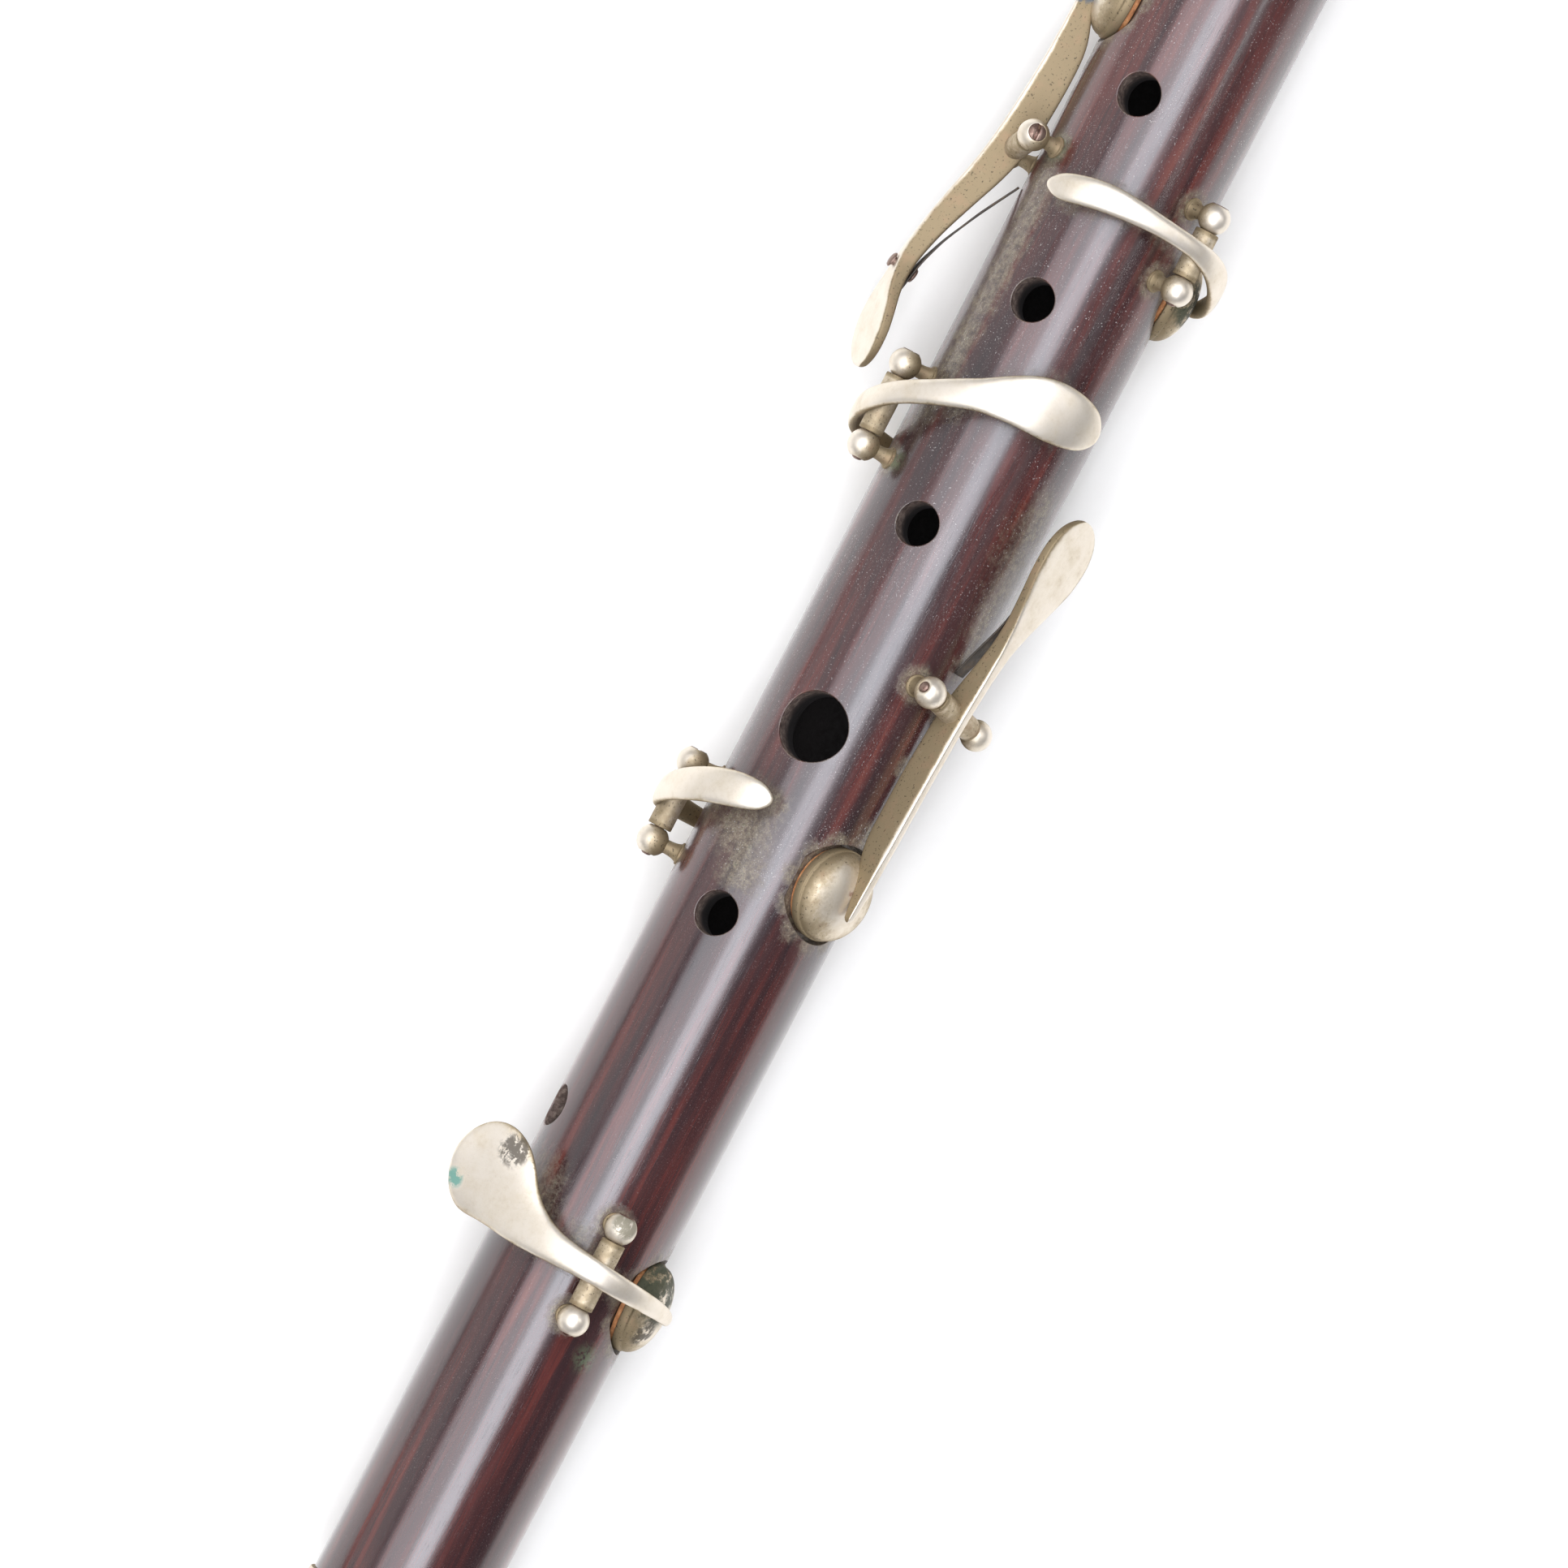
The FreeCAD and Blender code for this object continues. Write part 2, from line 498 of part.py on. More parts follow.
def make_post(key_name, end):
    """Make one ball-headed post: tang, foot, tapering neck and a ball drilled and faced for the axle."""
    label = f"{key_name}_{'lower' if end < 0 else 'upper'}_post"
    x, angle, radius = ball_place(key_name, end)
    _, along = axle(key_name)
    centre = about_bore(x, angle, radius)
    sunk = wood_radius(x) - size("post_sink")
    foot_top = sunk + size("post_foot_height")
    ball = doc.addObject("Part::Sphere", f"{label}_ball")
    bind(ball, Radius=cell("ball_radius"))
    ball.Placement = standing(x, angle, radius)
    flare = doc.addObject("Part::Cone", f"{label}_flare")
    bind(flare, Radius1=cell("post_foot_radius"), Radius2=cell("post_stem_radius"),
         Height=cell("post_flare_height"))
    flare.Placement = standing(x, angle, foot_top)
    stem_start = foot_top + size("post_flare_height")
    neck = doc.addObject("Part::Cone", f"{label}_neck")
    bind(neck, Radius1=cell("post_stem_radius"), Radius2=cell("post_neck_radius"))
    neck.Height = radius - stem_start - NECK_ENTRY * size("ball_radius")
    neck.Placement = standing(x, angle, stem_start)
    foot = cylinder(f"{label}_foot", cell("post_foot_radius"), cell("post_foot_height"),
                    standing(x, angle, sunk))
    tang = cylinder(f"{label}_tang", cell("post_tang_radius"), cell("post_tang_length"),
                    standing(x, angle, sunk - size("post_tang_length")))
    shank = fused(f"{label}_shank", [ball, neck, flare, foot, tang])
    facet = size("ball_facet")
    cutters = []
    for side in (-1, 1):
        place = pointing(centre + along * (side * facet), along * side, radial(angle))
        cutters.append(cylinder(f"{label}_facet_{side + 1}", cell("ball_radius"),
                                cell("facet_cutter_length"), place))
    bore_start = centre - along * (2 * facet)
    cutters.append(cylinder(f"{label}_bore", cell("screw_hole_radius"), f"4 * {cell('ball_facet')}",
                            pointing(bore_start, along, radial(angle))))
    if end > 0:
        head_start = centre + along * (facet - size("screw_head_length"))
        cutters.append(cylinder(f"{label}_head_seat",
                                f"{cell('screw_head_radius')} + {cell('post_clearance')}",
                                cell("facet_cutter_length"), pointing(head_start, along, radial(angle))))
    return cut(label, shank, cutters)


def make_hinge(key_name):
    """Make one key's pair of posts, its pivot screw and its hinge tube."""
    middle, along = axle(key_name)
    side = radial(size(f"{key_name}_axle_angle"))
    half = size(f"{key_name}_spacing") / 2
    facet = size("ball_facet")
    pair = doc.addObject("Part::Compound", f"{key_name}_post_pair")
    pair.Links = [make_post(key_name, -1), make_post(key_name, 1)]
    keep(f"{key_name}_posts", pair)

    low_end = middle - along * (half + facet + size("screw_stand_out"))
    rod = doc.addObject("Part::Cylinder", f"{key_name}_screw_rod")
    bind(rod, Radius=cell("screw_radius"))
    rod.Height = 2 * (half + facet) + size("screw_stand_out")
    rod.Placement = pointing(low_end, along, side)
    head_base = middle + along * (half + facet - size("screw_head_length"))
    head = cylinder(f"{key_name}_screw_head", cell("screw_head_radius"), cell("screw_head_length"),
                    pointing(head_base, along, side))
    slot = doc.addObject("Part::Box", f"{key_name}_screw_slot")
    bind(slot, Length=cell("screw_slot"), Width=f"3 * {cell('screw_head_radius')}",
         Height=cell("facet_cutter_length"))
    slot_turn = FreeCAD.Rotation(side, V(0, 0, 0), along, "ZXY")
    slot_base = middle + along * (half + facet - size("screw_slot"))
    slot.Placement = FreeCAD.Placement(
        slot_base + slot_turn.multVec(V(-size("screw_slot") / 2, -1.5 * size("screw_head_radius"), 0)),
        slot_turn)
    blank = fused(f"{key_name}_screw_blank", [rod, head])
    keep(f"{key_name}_pivot_screw", cut(f"{key_name}_screw", blank, [slot]))

    reach = half - facet - size("tube_end_gap")
    start = middle - along * reach
    tube = doc.addObject("Part::Cylinder", f"{key_name}_tube_blank")
    bind(tube, Radius=cell("tube_radius"))
    tube.Height = 2 * reach
    tube.Placement = pointing(start, along, side)
    bore = cylinder(f"{key_name}_tube_bore", cell("tube_bore_radius"), cell(f"{key_name}_spacing"),
                    pointing(middle - along * half, along, side))
    keep(f"{key_name}_hinge_tube", cut(f"{key_name}_tube", tube, [bore]))
    return tube


# ---------------------------------------------------------------- cups, pads, levers and springs
def make_cup(key_name):
    """Make one domed cup and the leather pad held in it."""
    x = size(f"{key_name}_cup_x")
    angle = size(f"{key_name}_cup_angle")
    rim = wood_radius(x) + size("cup_rise")
    lip = cylinder(f"{key_name}_cup_lip", cell("cup_radius"), cell("cup_lip"), standing(x, angle, rim))
    dome = doc.addObject("Part::Ellipsoid", f"{key_name}_cup_dome")
    bind(dome, Radius1=f"{cell('cup_height')} - {cell('cup_lip')}", Radius2=cell("cup_radius"),
         Radius3=cell("cup_radius"))
    dome.Angle1 = 0
    dome.Placement = standing(x, angle, rim + size("cup_lip"))
    recess = cylinder(f"{key_name}_cup_recess", cell("cup_recess_radius"), cell("cup_recess_depth"),
                      standing(x, angle, rim))
    blank = fused(f"{key_name}_cup_blank", [lip, dome])
    keep(f"{key_name}_cup", cut(f"{key_name}_cup_shell", blank, [recess]))

    seat = wood_radius(x) - size("seat_depth")
    leather = cylinder(f"{key_name}_pad_skin", cell("pad_radius"),
                       f"{cell('seat_depth')} + {cell('cup_rise')} - 2 * {cell('pad_gap')}",
                       standing(x, angle, seat + size("pad_gap")))
    neck = cylinder(f"{key_name}_pad_neck", cell("pad_neck_radius"),
                    f"{cell('seat_depth')} + {cell('cup_rise')} + {cell('cup_recess_depth')}"
                    f" - {cell('pad_gap')}",
                    standing(x, angle, seat + size("pad_gap")))
    keep(f"{key_name}_pad", fused(f"{key_name}_pad_solid", [leather, neck]))
    return blank


def spring_axis(key_name):
    """Return the spring screw's point on the spring's middle line and its direction, out of the lever."""
    (angle, radius, x, _, _, *roll), (next_angle, next_radius, next_x, *_) = KEYS[key_name]["spring"][:2]
    root = about_bore(x, angle, radius)
    ahead = about_bore(next_x, next_angle, next_radius)
    along = (ahead - root).normalize()
    outward = radial(angle + (roll[0] if roll else 0))
    outward = (outward - along * outward.dot(along)).normalize()
    return (root + ahead) * 0.5, outward, along


def make_spring(key_name):
    """Make one flat spring and the screw that holds it under its lever; return the drill for its shank."""
    strip = lofted(f"{key_name}_strip", f"{key_name}_spring", KEYS[key_name]["spring"], "Part::Plane")
    point, outward, along = spring_axis(key_name)
    under = point - outward * size("spring_screw_drop")
    reach = size(f"{key_name}_screw_reach")
    drill = doc.addObject("Part::Cylinder", f"{key_name}_shank_drill")
    bind(drill, Radius=f"{cell('spring_screw_radius')} + {cell('post_clearance')}")
    extra = size("rivet_drill_extra") if KEYS[key_name]["riveted"] else size("post_clearance")
    drill.Height = size("spring_drill_start") + reach + extra
    drill.Placement = pointing(point - outward * size("spring_drill_start"), outward, along)
    shank = doc.addObject("Part::Cylinder", f"{key_name}_shank")
    bind(shank, Radius=cell("spring_screw_radius"))
    shank.Height = reach + size("spring_screw_drop")
    shank.Placement = pointing(under, outward, along)
    head = cylinder(f"{key_name}_shank_head", cell("spring_screw_head_radius"),
                    cell("spring_screw_head_height"),
                    pointing(under - outward * size("spring_screw_head_height"), outward, along))
    pieces = [shank, head]
    if KEYS[key_name]["riveted"]:
        pieces.append(cylinder(f"{key_name}_rivet_head", cell("spring_screw_head_radius"),
                               cell("spring_screw_head_height"),
                               pointing(point + outward * reach, outward, along)))
    keep(f"{key_name}_spring", cut(f"{key_name}_spring_solid", strip, [drill]))
    keep(f"{key_name}_spring_screw", fused(f"{key_name}_spring_screw_solid", pieces))
    return drill


def make_lever(key_name, tube, cup, drill):
    """Make one lever, saddled on its hinge tube, let down on its cup and drilled for its spring's screw."""
    shape = "Part::Plane" if KEYS[key_name]["flat"] else "Part::Ellipse"
    loft = lofted(f"{key_name}_lever_blank", f"{key_name}_lever", KEYS[key_name]["lever"], shape)
    keep(f"{key_name}_lever", cut(f"{key_name}_lever_solid", loft, [tube, cup, drill]))


# ---------------------------------------------------------------- head joint
def make_head():
    """Make the head tube with its tenon and embouchure, and its ring, cork, stopper and crown."""
    blank = turned("head_blank", [
        ("tenon_start_x", "head_bore_radius"), ("head_end_x", "head_bore_radius"),
        ("head_end_x", "head_top_radius"), ("embouchure_x", "head_lip_radius"),
        ("head_ring_end_x", "head_low_radius"), ("head_ring_end_x", "head_ring_seat_radius"),
        ("head_start_x", "head_ring_seat_radius"), ("head_start_x", "tenon_radius"),
        ("groove_end_x", "tenon_radius"), ("groove_end_x", "groove_radius"),
        ("groove_start_x", "groove_radius"), ("groove_start_x", "tenon_radius"),
        ("tenon_start_x", "tenon_radius"),
    ])
    oval = doc.addObject("Part::Ellipse", "embouchure_outline")
    bind(oval, MajorRadius=f"{cell('embouchure_length')} / 2", MinorRadius=f"{cell('embouchure_width')} / 2")
    oval.Placement = standing(size("embouchure_x"), size("finger_line_angle"), 0)
    drill = doc.addObject("Part::Extrusion", "embouchure_cutter")
    drill.Base = oval
    drill.DirMode = "Custom"
    drill.Dir = radial(size("finger_line_angle"))
    drill.Solid = True
    bind(drill, LengthFwd=cell("drill_reach"))
    keep("head_tube", cut("head_wood", blank, [drill]))
    keep("head_ring", turned("head_ring_solid", [
        ("head_start_x", "head_ring_bore_radius"), ("head_ring_end_x", "head_ring_bore_radius"),
        ("head_ring_end_x", "head_ring_radius"), ("head_start_x", "head_ring_radius"),
    ]))
    keep("tenon_cork", turned("tenon_cork_solid", [
        ("cork_start_x", "cork_bore_radius"), ("cork_end_x", "cork_bore_radius"),
        ("cork_end_x", "cork_radius"), ("cork_start_x", "cork_radius"),
    ]))
    keep("stopper_cork", turned("stopper_cork_solid", [
        ("stopper_start_x", None), ("stopper_end_x", None),
        ("stopper_end_x", "stopper_radius"), ("stopper_start_x", "stopper_radius"),
    ]))
    keep("head_crown", turned("head_crown_solid", [
        ("crown_plug_x", None), ("crown_end_x", None), ("crown_top_x", "crown_top_radius"),
        ("crown_neck_x", "crown_neck_radius"), ("crown_bead_x", "crown_bead_radius"),
        ("head_end_x", "crown_base_radius"), ("head_end_x", "crown_plug_radius"),
        ("crown_plug_x", "crown_plug_radius"),
    ]))


# ---------------------------------------------------------------- build, check and write
make_body()
for key_name in KEYS:
    tube_blank = make_hinge(key_name)
    cup_blank = make_cup(key_name)
    shank_drill = make_spring(key_name)
    make_lever(key_name, tube_blank, cup_blank, shank_drill)
make_head()
doc.recompute()

for feature in doc.Objects:
    if "Invalid" in feature.State or "Error" in feature.State:
        raise RuntimeError(f"{feature.Name} failed: {feature.State}")
for node, feature in parts.items():
    shape = feature.Shape
    if shape.isNull() or not shape.isValid() or shape.Volume <= 0:
        raise RuntimeError(f"{node} has no sound shape: {shape.isValid()} {shape.Volume}")

os.makedirs("parts", exist_ok=True)
for node, feature in parts.items():
    feature.Shape.exportStep(f"parts/{node}.step")
    print(node, len(feature.Shape.Solids), round(feature.Shape.Volume, 2))
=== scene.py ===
"""Looks of the keyed piccolo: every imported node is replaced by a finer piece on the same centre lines.

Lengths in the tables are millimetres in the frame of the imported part: +X runs along the bore from the
foot to the head, +Z is up, and angles about the bore are degrees from +Z towards -Y.
"""

import math

import bpy
import numpy as np
from mathutils import Matrix, Vector
from mathutils.geometry import delaunay_2d_cdt


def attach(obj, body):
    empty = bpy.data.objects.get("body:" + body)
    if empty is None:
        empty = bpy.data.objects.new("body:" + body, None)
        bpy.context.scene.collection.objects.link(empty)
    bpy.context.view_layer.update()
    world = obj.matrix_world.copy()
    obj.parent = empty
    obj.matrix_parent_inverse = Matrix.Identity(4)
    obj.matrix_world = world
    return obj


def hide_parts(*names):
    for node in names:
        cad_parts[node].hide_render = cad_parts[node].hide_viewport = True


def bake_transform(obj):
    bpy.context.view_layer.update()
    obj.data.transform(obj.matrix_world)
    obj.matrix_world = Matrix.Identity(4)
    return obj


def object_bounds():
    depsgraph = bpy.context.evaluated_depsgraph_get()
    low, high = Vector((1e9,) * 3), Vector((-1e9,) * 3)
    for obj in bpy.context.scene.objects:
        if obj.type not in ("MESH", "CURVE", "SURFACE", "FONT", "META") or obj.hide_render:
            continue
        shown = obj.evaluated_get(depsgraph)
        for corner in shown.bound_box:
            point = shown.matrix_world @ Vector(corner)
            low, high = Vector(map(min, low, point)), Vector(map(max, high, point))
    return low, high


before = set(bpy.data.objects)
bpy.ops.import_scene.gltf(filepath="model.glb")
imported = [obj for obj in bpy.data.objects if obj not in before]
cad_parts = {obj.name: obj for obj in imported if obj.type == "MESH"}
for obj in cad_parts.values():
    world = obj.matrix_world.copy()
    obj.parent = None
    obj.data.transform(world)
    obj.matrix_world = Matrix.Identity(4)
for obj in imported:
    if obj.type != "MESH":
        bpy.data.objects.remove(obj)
cad_low, cad_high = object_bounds()
MM = 0.001

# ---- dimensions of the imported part
FOOT_RADIUS = 7.66
TAPER = 0.00375
SEAT_DEPTH = 1.3
SEAT_RADIUS = 4.75
TONE_HOLE_RADIUS = 2.1
CUP_RISE = -0.75
CUP_LIP = 0.85
CUP_HEIGHT = 3.0
CUP_RADIUS = 4.35
PAD_RADIUS = 4.1
BALL_RADIUS = 1.45
BALL_FACET = 1.25
TUBE_RADIUS = 1.12
TUBE_BORE_RADIUS = 0.55
SCREW_RADIUS = 0.5
SCREW_HOLE_RADIUS = 0.52
SCREW_HEAD_RADIUS = 0.8
SCREW_HEAD_LENGTH = 0.4
SCREW_SLOT = 0.26

# Open holes: distance from the foot, angle, radius.
HOLES = [
    (172.4, -20.0, 2.0), (151.6, -20.0, 2.0), (131.1, -20.0, 2.0), (108.8, -20.0, 2.0),
    (88.6, -20.0, 3.2), (70.0, -20.0, 2.0), (48.2, -74.0, 2.0),
]

# Stations of levers and springs are (angle, radius, x, width, height) and, where they lean, their roll.
# A key with a skew has its axle across the bore, turned by so many degrees, and the others along it.
# A key with a rivet_reach has its spring screw riveted over, so far out of the spring's middle line.
KEYS = {
    "low": {
        "cup_x": 35.6, "cup_angle": 80.0,
        "axle_x": 36.8, "axle_angle": 14.9, "axle_rise": 2.75, "spacing": 9.1,
        "lever": [
            (-68.7, 14.25, 41.2, 3.2, 0.7), (-67.6, 13.9, 41.0, 5.6, 0.9), (-64.9, 13.0, 41.0, 8.1, 1.05),
            (-58.8, 12.15, 40.6, 9.4, 1.1), (-52.6, 11.35, 40.2, 9.0, 1.15), (-46.5, 10.8, 39.6, 7.7, 1.2),
            (-39.5, 10.45, 38.7, 6.0, 1.2), (-31.0, 10.35, 38.0, 4.7, 1.2), (-19.5, 10.55, 37.5, 3.5, 1.2),
            (-9.0, 10.95, 37.2, 2.8, 1.2), (2.5, 11.5, 37.1, 2.4, 1.2), (13.5, 11.95, 36.95, 2.2, 1.1),
            (23.0, 11.95, 36.75, 2.1, 1.1), (34.0, 11.65, 36.6, 1.95, 1.1), (46.0, 11.25, 36.4, 1.8, 1.05),
            (58.0, 10.95, 36.2, 1.6, 1.0), (70.0, 10.6, 35.9, 1.4, 0.9), (80.0, 10.35, 35.7, 1.2, 0.8),
            (88.0, 10.25, 35.6, 0.8, 0.6),
        ],
        "spring": [
            (3.0, 10.45, 37.1, 1.4, 0.2), (-7.0, 9.8, 37.3, 1.4, 0.2), (-16.0, 9.2, 37.6, 1.3, 0.2),
            (-30.0, 8.4, 38.0, 1.2, 0.2), (-40.0, 8.02, 38.4, 1.1, 0.2),
        ],
    },
    "short_f": {
        "cup_x": 76.6, "cup_angle": -165.0,
        "axle_x": 77.0, "axle_angle": -88.0, "axle_rise": 2.75, "spacing": 7.8,
        "lever": [
            (-17.0, 10.55, 81.0, 1.3, 0.6), (-20.0, 10.65, 80.95, 2.3, 0.8), (-26.0, 10.8, 80.8, 2.9, 1.0),
            (-36.0, 11.0, 80.5, 3.3, 1.1), (-48.0, 11.3, 79.9, 3.3, 1.1), (-60.0, 11.7, 79.1, 3.2, 1.1),
            (-73.0, 12.05, 78.2, 3.0, 1.1), (-86.0, 12.15, 77.4, 2.7, 1.1), (-99.0, 11.9, 77.0, 2.4, 1.1),
            (-115.0, 11.5, 76.8, 2.1, 1.1), (-131.0, 11.15, 76.65, 1.9, 1.05),
            (-148.0, 10.75, 76.6, 1.7, 0.95), (-165.0, 10.48, 76.6, 1.4, 0.8),
            (-174.0, 10.4, 76.6, 0.9, 0.6),
        ],
        "spring": [
            (-72.0, 11.2, 78.3, 1.4, 0.2), (-60.0, 10.75, 79.1, 1.4, 0.2), (-50.0, 10.0, 79.7, 1.3, 0.2),
            (-36.0, 8.7, 80.4, 1.2, 0.2), (-27.0, 8.2, 80.8, 1.1, 0.2),
        ],
    },
    "g_sharp": {
        "cup_x": 114.0, "cup_angle": -165.0,
        "axle_x": 117.0, "axle_angle": -70.0, "axle_rise": 2.75, "spacing": 8.1,
        "lever": [
            (45.0, 10.95, 122.75, 2.0, 0.6), (42.5, 11.0, 122.85, 3.2, 0.8),
            (38.0, 11.05, 122.95, 4.2, 1.0), (29.0, 11.1, 123.05, 5.1, 1.1),
            (18.5, 11.1, 123.05, 5.5, 1.15), (9.0, 11.1, 122.9, 5.2, 1.2), (-2.0, 11.1, 122.3, 4.2, 1.2),
            (-13.5, 11.15, 121.5, 3.1, 1.2), (-21.0, 11.2, 121.0, 2.75, 1.2),
            (-37.5, 11.4, 119.7, 2.3, 1.2), (-52.0, 11.8, 118.6, 2.2, 1.2),
            (-64.0, 12.25, 117.4, 2.25, 1.1), (-75.0, 12.35, 116.4, 2.35, 1.1),
            (-87.0, 12.2, 115.5, 2.4, 1.1), (-100.0, 12.0, 114.8, 2.3, 1.1),
            (-116.0, 11.65, 114.3, 2.1, 1.1), (-133.0, 11.2, 114.05, 1.9, 1.0),
            (-150.0, 10.85, 114.0, 1.7, 0.95), (-165.0, 10.62, 114.0, 1.4, 0.8),
            (-174.0, 10.55, 114.0, 0.9, 0.6),
        ],
        "spring": [
            (-50.0, 10.9, 118.8, 1.4, 0.2), (-39.0, 10.5, 119.6, 1.4, 0.2), (-28.0, 9.9, 120.5, 1.3, 0.2),
            (-12.0, 8.8, 121.6, 1.2, 0.2), (-3.0, 8.36, 122.2, 1.1, 0.2),
        ],
    },
    "b_flat": {
        "cup_x": 137.4, "cup_angle": 100.0,
        "axle_x": 141.3, "axle_angle": 49.0, "axle_rise": 2.75, "spacing": 7.2,
        "lever": [
            (-34.0, 10.75, 141.0, 1.3, 0.6), (-31.0, 10.85, 141.05, 2.1, 0.8),
            (-25.5, 10.95, 141.2, 2.6, 1.0), (-13.5, 11.05, 141.75, 2.7, 1.1),
            (-2.0, 11.1, 142.0, 2.55, 1.15), (9.0, 11.15, 142.0, 2.2, 1.2), (20.5, 11.3, 141.95, 1.85, 1.2),
            (32.0, 11.75, 141.8, 1.7, 1.15), (42.0, 12.2, 141.6, 1.8, 1.1), (52.0, 12.4, 141.2, 2.1, 1.1),
            (63.0, 12.35, 140.4, 2.6, 1.1), (74.0, 12.0, 139.4, 3.0, 1.1), (84.0, 11.6, 138.5, 2.8, 1.05),
            (93.0, 11.1, 137.8, 2.2, 0.95), (101.0, 10.75, 137.4, 1.6, 0.85),
            (109.0, 10.6, 137.2, 0.9, 0.65),
        ],
        "spring": [
            (32.0, 10.9, 141.8, 1.3, 0.2), (20.0, 10.4, 141.95, 1.3, 0.2), (10.0, 9.9, 142.0, 1.3, 0.2),
            (-6.0, 8.9, 141.95, 1.2, 0.2), (-15.0, 8.44, 141.75, 1.1, 0.2),
        ],
    },
    "long_f": {
        "cup_x": 76.1, "cup_angle": 48.0,
        "axle_x": 95.3, "axle_angle": 53.0, "axle_rise": 1.9, "skew": 9.0, "spacing": 9.1,
        "lever": [
            (57.5, 12.6, 115.5, 2.6, 0.7), (57.4, 12.55, 115.0, 4.4, 0.85), (57.2, 12.5, 114.0, 6.0, 0.95),
            (57.0, 12.4, 112.3, 7.0, 1.05), (56.7, 12.25, 110.0, 6.6, 1.1), (56.2, 11.95, 107.5, 4.8, 1.15),
            (55.5, 11.6, 105.0, 2.9, 1.25), (54.7, 11.2, 102.5, 1.6, 1.5), (53.8, 10.7, 99.5, 1.15, 2.1),
            (52.6, 10.1, 95.3, 1.05, 2.9), (51.0, 9.9, 89.0, 1.0, 3.1), (49.5, 9.9, 82.5, 1.0, 3.1),
            (49.1, 10.0, 80.8, 1.0, 2.9), (48.8, 10.35, 79.4, 1.0, 2.0), (48.4, 10.75, 77.0, 0.9, 1.2),
            (48.0, 10.8, 74.9, 0.6, 0.7),
        ],
        "spring": [
            (56.7, 11.35, 109.2, 1.8, 0.2), (56.2, 11.0, 106.6, 1.8, 0.2), (55.7, 10.3, 104.0, 1.6, 0.2),
            (54.8, 9.0, 100.6, 1.5, 0.2), (54.5, 8.3, 98.6, 1.4, 0.2),
        ],
    },
    "c": {
        "cup_x": 159.3, "cup_angle": -82.0,
        "axle_x": 143.25, "axle_angle": -80.0, "axle_rise": 2.0, "skew": -15.0, "spacing": 7.7,
        "lever": [
            (-98.0, 14.0, 119.4, 2.4, 0.7, 28), (-98.0, 14.1, 119.9, 4.2, 0.9, 28),
            (-97.8, 14.25, 121.0, 5.8, 1.0, 28), (-97.5, 14.45, 122.8, 6.6, 1.1, 28),
            (-97.1, 14.65, 125.0, 6.0, 1.2, 26), (-96.5, 14.75, 127.2, 4.4, 1.3, 20),
            (-95.8, 14.55, 129.6, 2.6, 1.7, 12), (-94.6, 13.75, 133.2, 1.5, 2.1, 4),
            (-92.3, 12.55, 137.0, 1.15, 2.6), (-90.0, 11.4, 140.5, 1.05, 3.1),
            (-88.0, 10.65, 144.2, 1.0, 3.5), (-85.8, 10.3, 149.0, 1.0, 3.3), (-84.4, 10.2, 152.6, 1.0, 3.1),
            (-84.0, 10.35, 154.4, 1.0, 2.8), (-83.4, 10.75, 156.0, 1.0, 1.9),
            (-82.8, 11.1, 158.6, 0.9, 1.2), (-82.0, 11.1, 160.8, 0.6, 0.7),
        ],
        "spring": [
            (-97.7, 13.92, 127.2, 1.8, 0.2, 20), (-96.7, 13.28, 130.0, 1.8, 0.2, 13),
            (-95.5, 12.3, 132.6, 1.6, 0.2, 6), (-93.6, 10.5, 136.2, 1.4, 0.2),
            (-92.0, 8.46, 139.8, 1.2, 0.2),
        ],
        "rivet_reach": 2.1,
    },
}


# ---- places about the bore
def radial(angle):
    """Unit vector out of the bore at an angle."""
    turn = math.radians(angle)
    return np.array([0.0, -math.sin(turn), math.cos(turn)])


def tangential(angle):
    """Unit vector along the circumference, towards larger angles."""
    turn = math.radians(angle)
    return np.array([0.0, -math.cos(turn), -math.sin(turn)])


def about_bore(x, angle, radius):
    """Point at a distance from the foot, an angle and a radius."""
    return np.array([x, 0.0, 0.0]) + radial(angle) * radius


def wood_radius(x):
    """Outer radius of the wooden body."""
    return FOOT_RADIUS + TAPER * x


def on_wood(x, angle):
    """Point on the outside of the wooden body."""
    return about_bore(x, angle, wood_radius(x))


def unit(vector):
    """Vector of length one."""
    return vector / np.linalg.norm(vector)


def basis(origin, z_axis, near_x):
    """Origin and 3x3 matrix of columns x, y, z with z exact and x as near as it can be."""
    z_axis = unit(np.asarray(z_axis, float))
    x_axis = np.asarray(near_x, float)
    x_axis = unit(x_axis - z_axis * x_axis.dot(z_axis))
    return np.asarray(origin, float), np.column_stack([x_axis, np.cross(z_axis, x_axis), z_axis])


def standing(x, angle):
    """Basis on the bore's axis whose z points outwards at an angle and whose x is the bore's."""
    return basis((x, 0, 0), radial(angle), (1, 0, 0))


ALONG_BORE = basis((0, 0, 0), (1, 0, 0), (0, 0, 1))


def axle(key):
    """Middle point and direction of a key's axle."""
    x, angle = key["axle_x"], key["axle_angle"]
    middle = about_bore(x, angle, wood_radius(x) + key["axle_rise"])
    bore = np.array([1.0, 0.0, 0.0])
    if "skew" not in key:
        return middle, bore
    skew = math.radians(key["skew"])
    return middle, tangential(angle) * math.cos(skew) - bore * math.sin(skew)


def ball_place(key, end):
    """Distance from the foot, angle and radius of a post's ball."""
    middle, along = axle(key)
    centre = middle + along * (end * key["spacing"] / 2)
    return centre[0], math.degrees(math.atan2(-centre[1], centre[2])), math.hypot(centre[1], centre[2])


# ---- meshes
# Each round end of a bar has so many sections, the last one short of where it would close.
NOSE_STEPS = 10
NOSE_END = 10.4


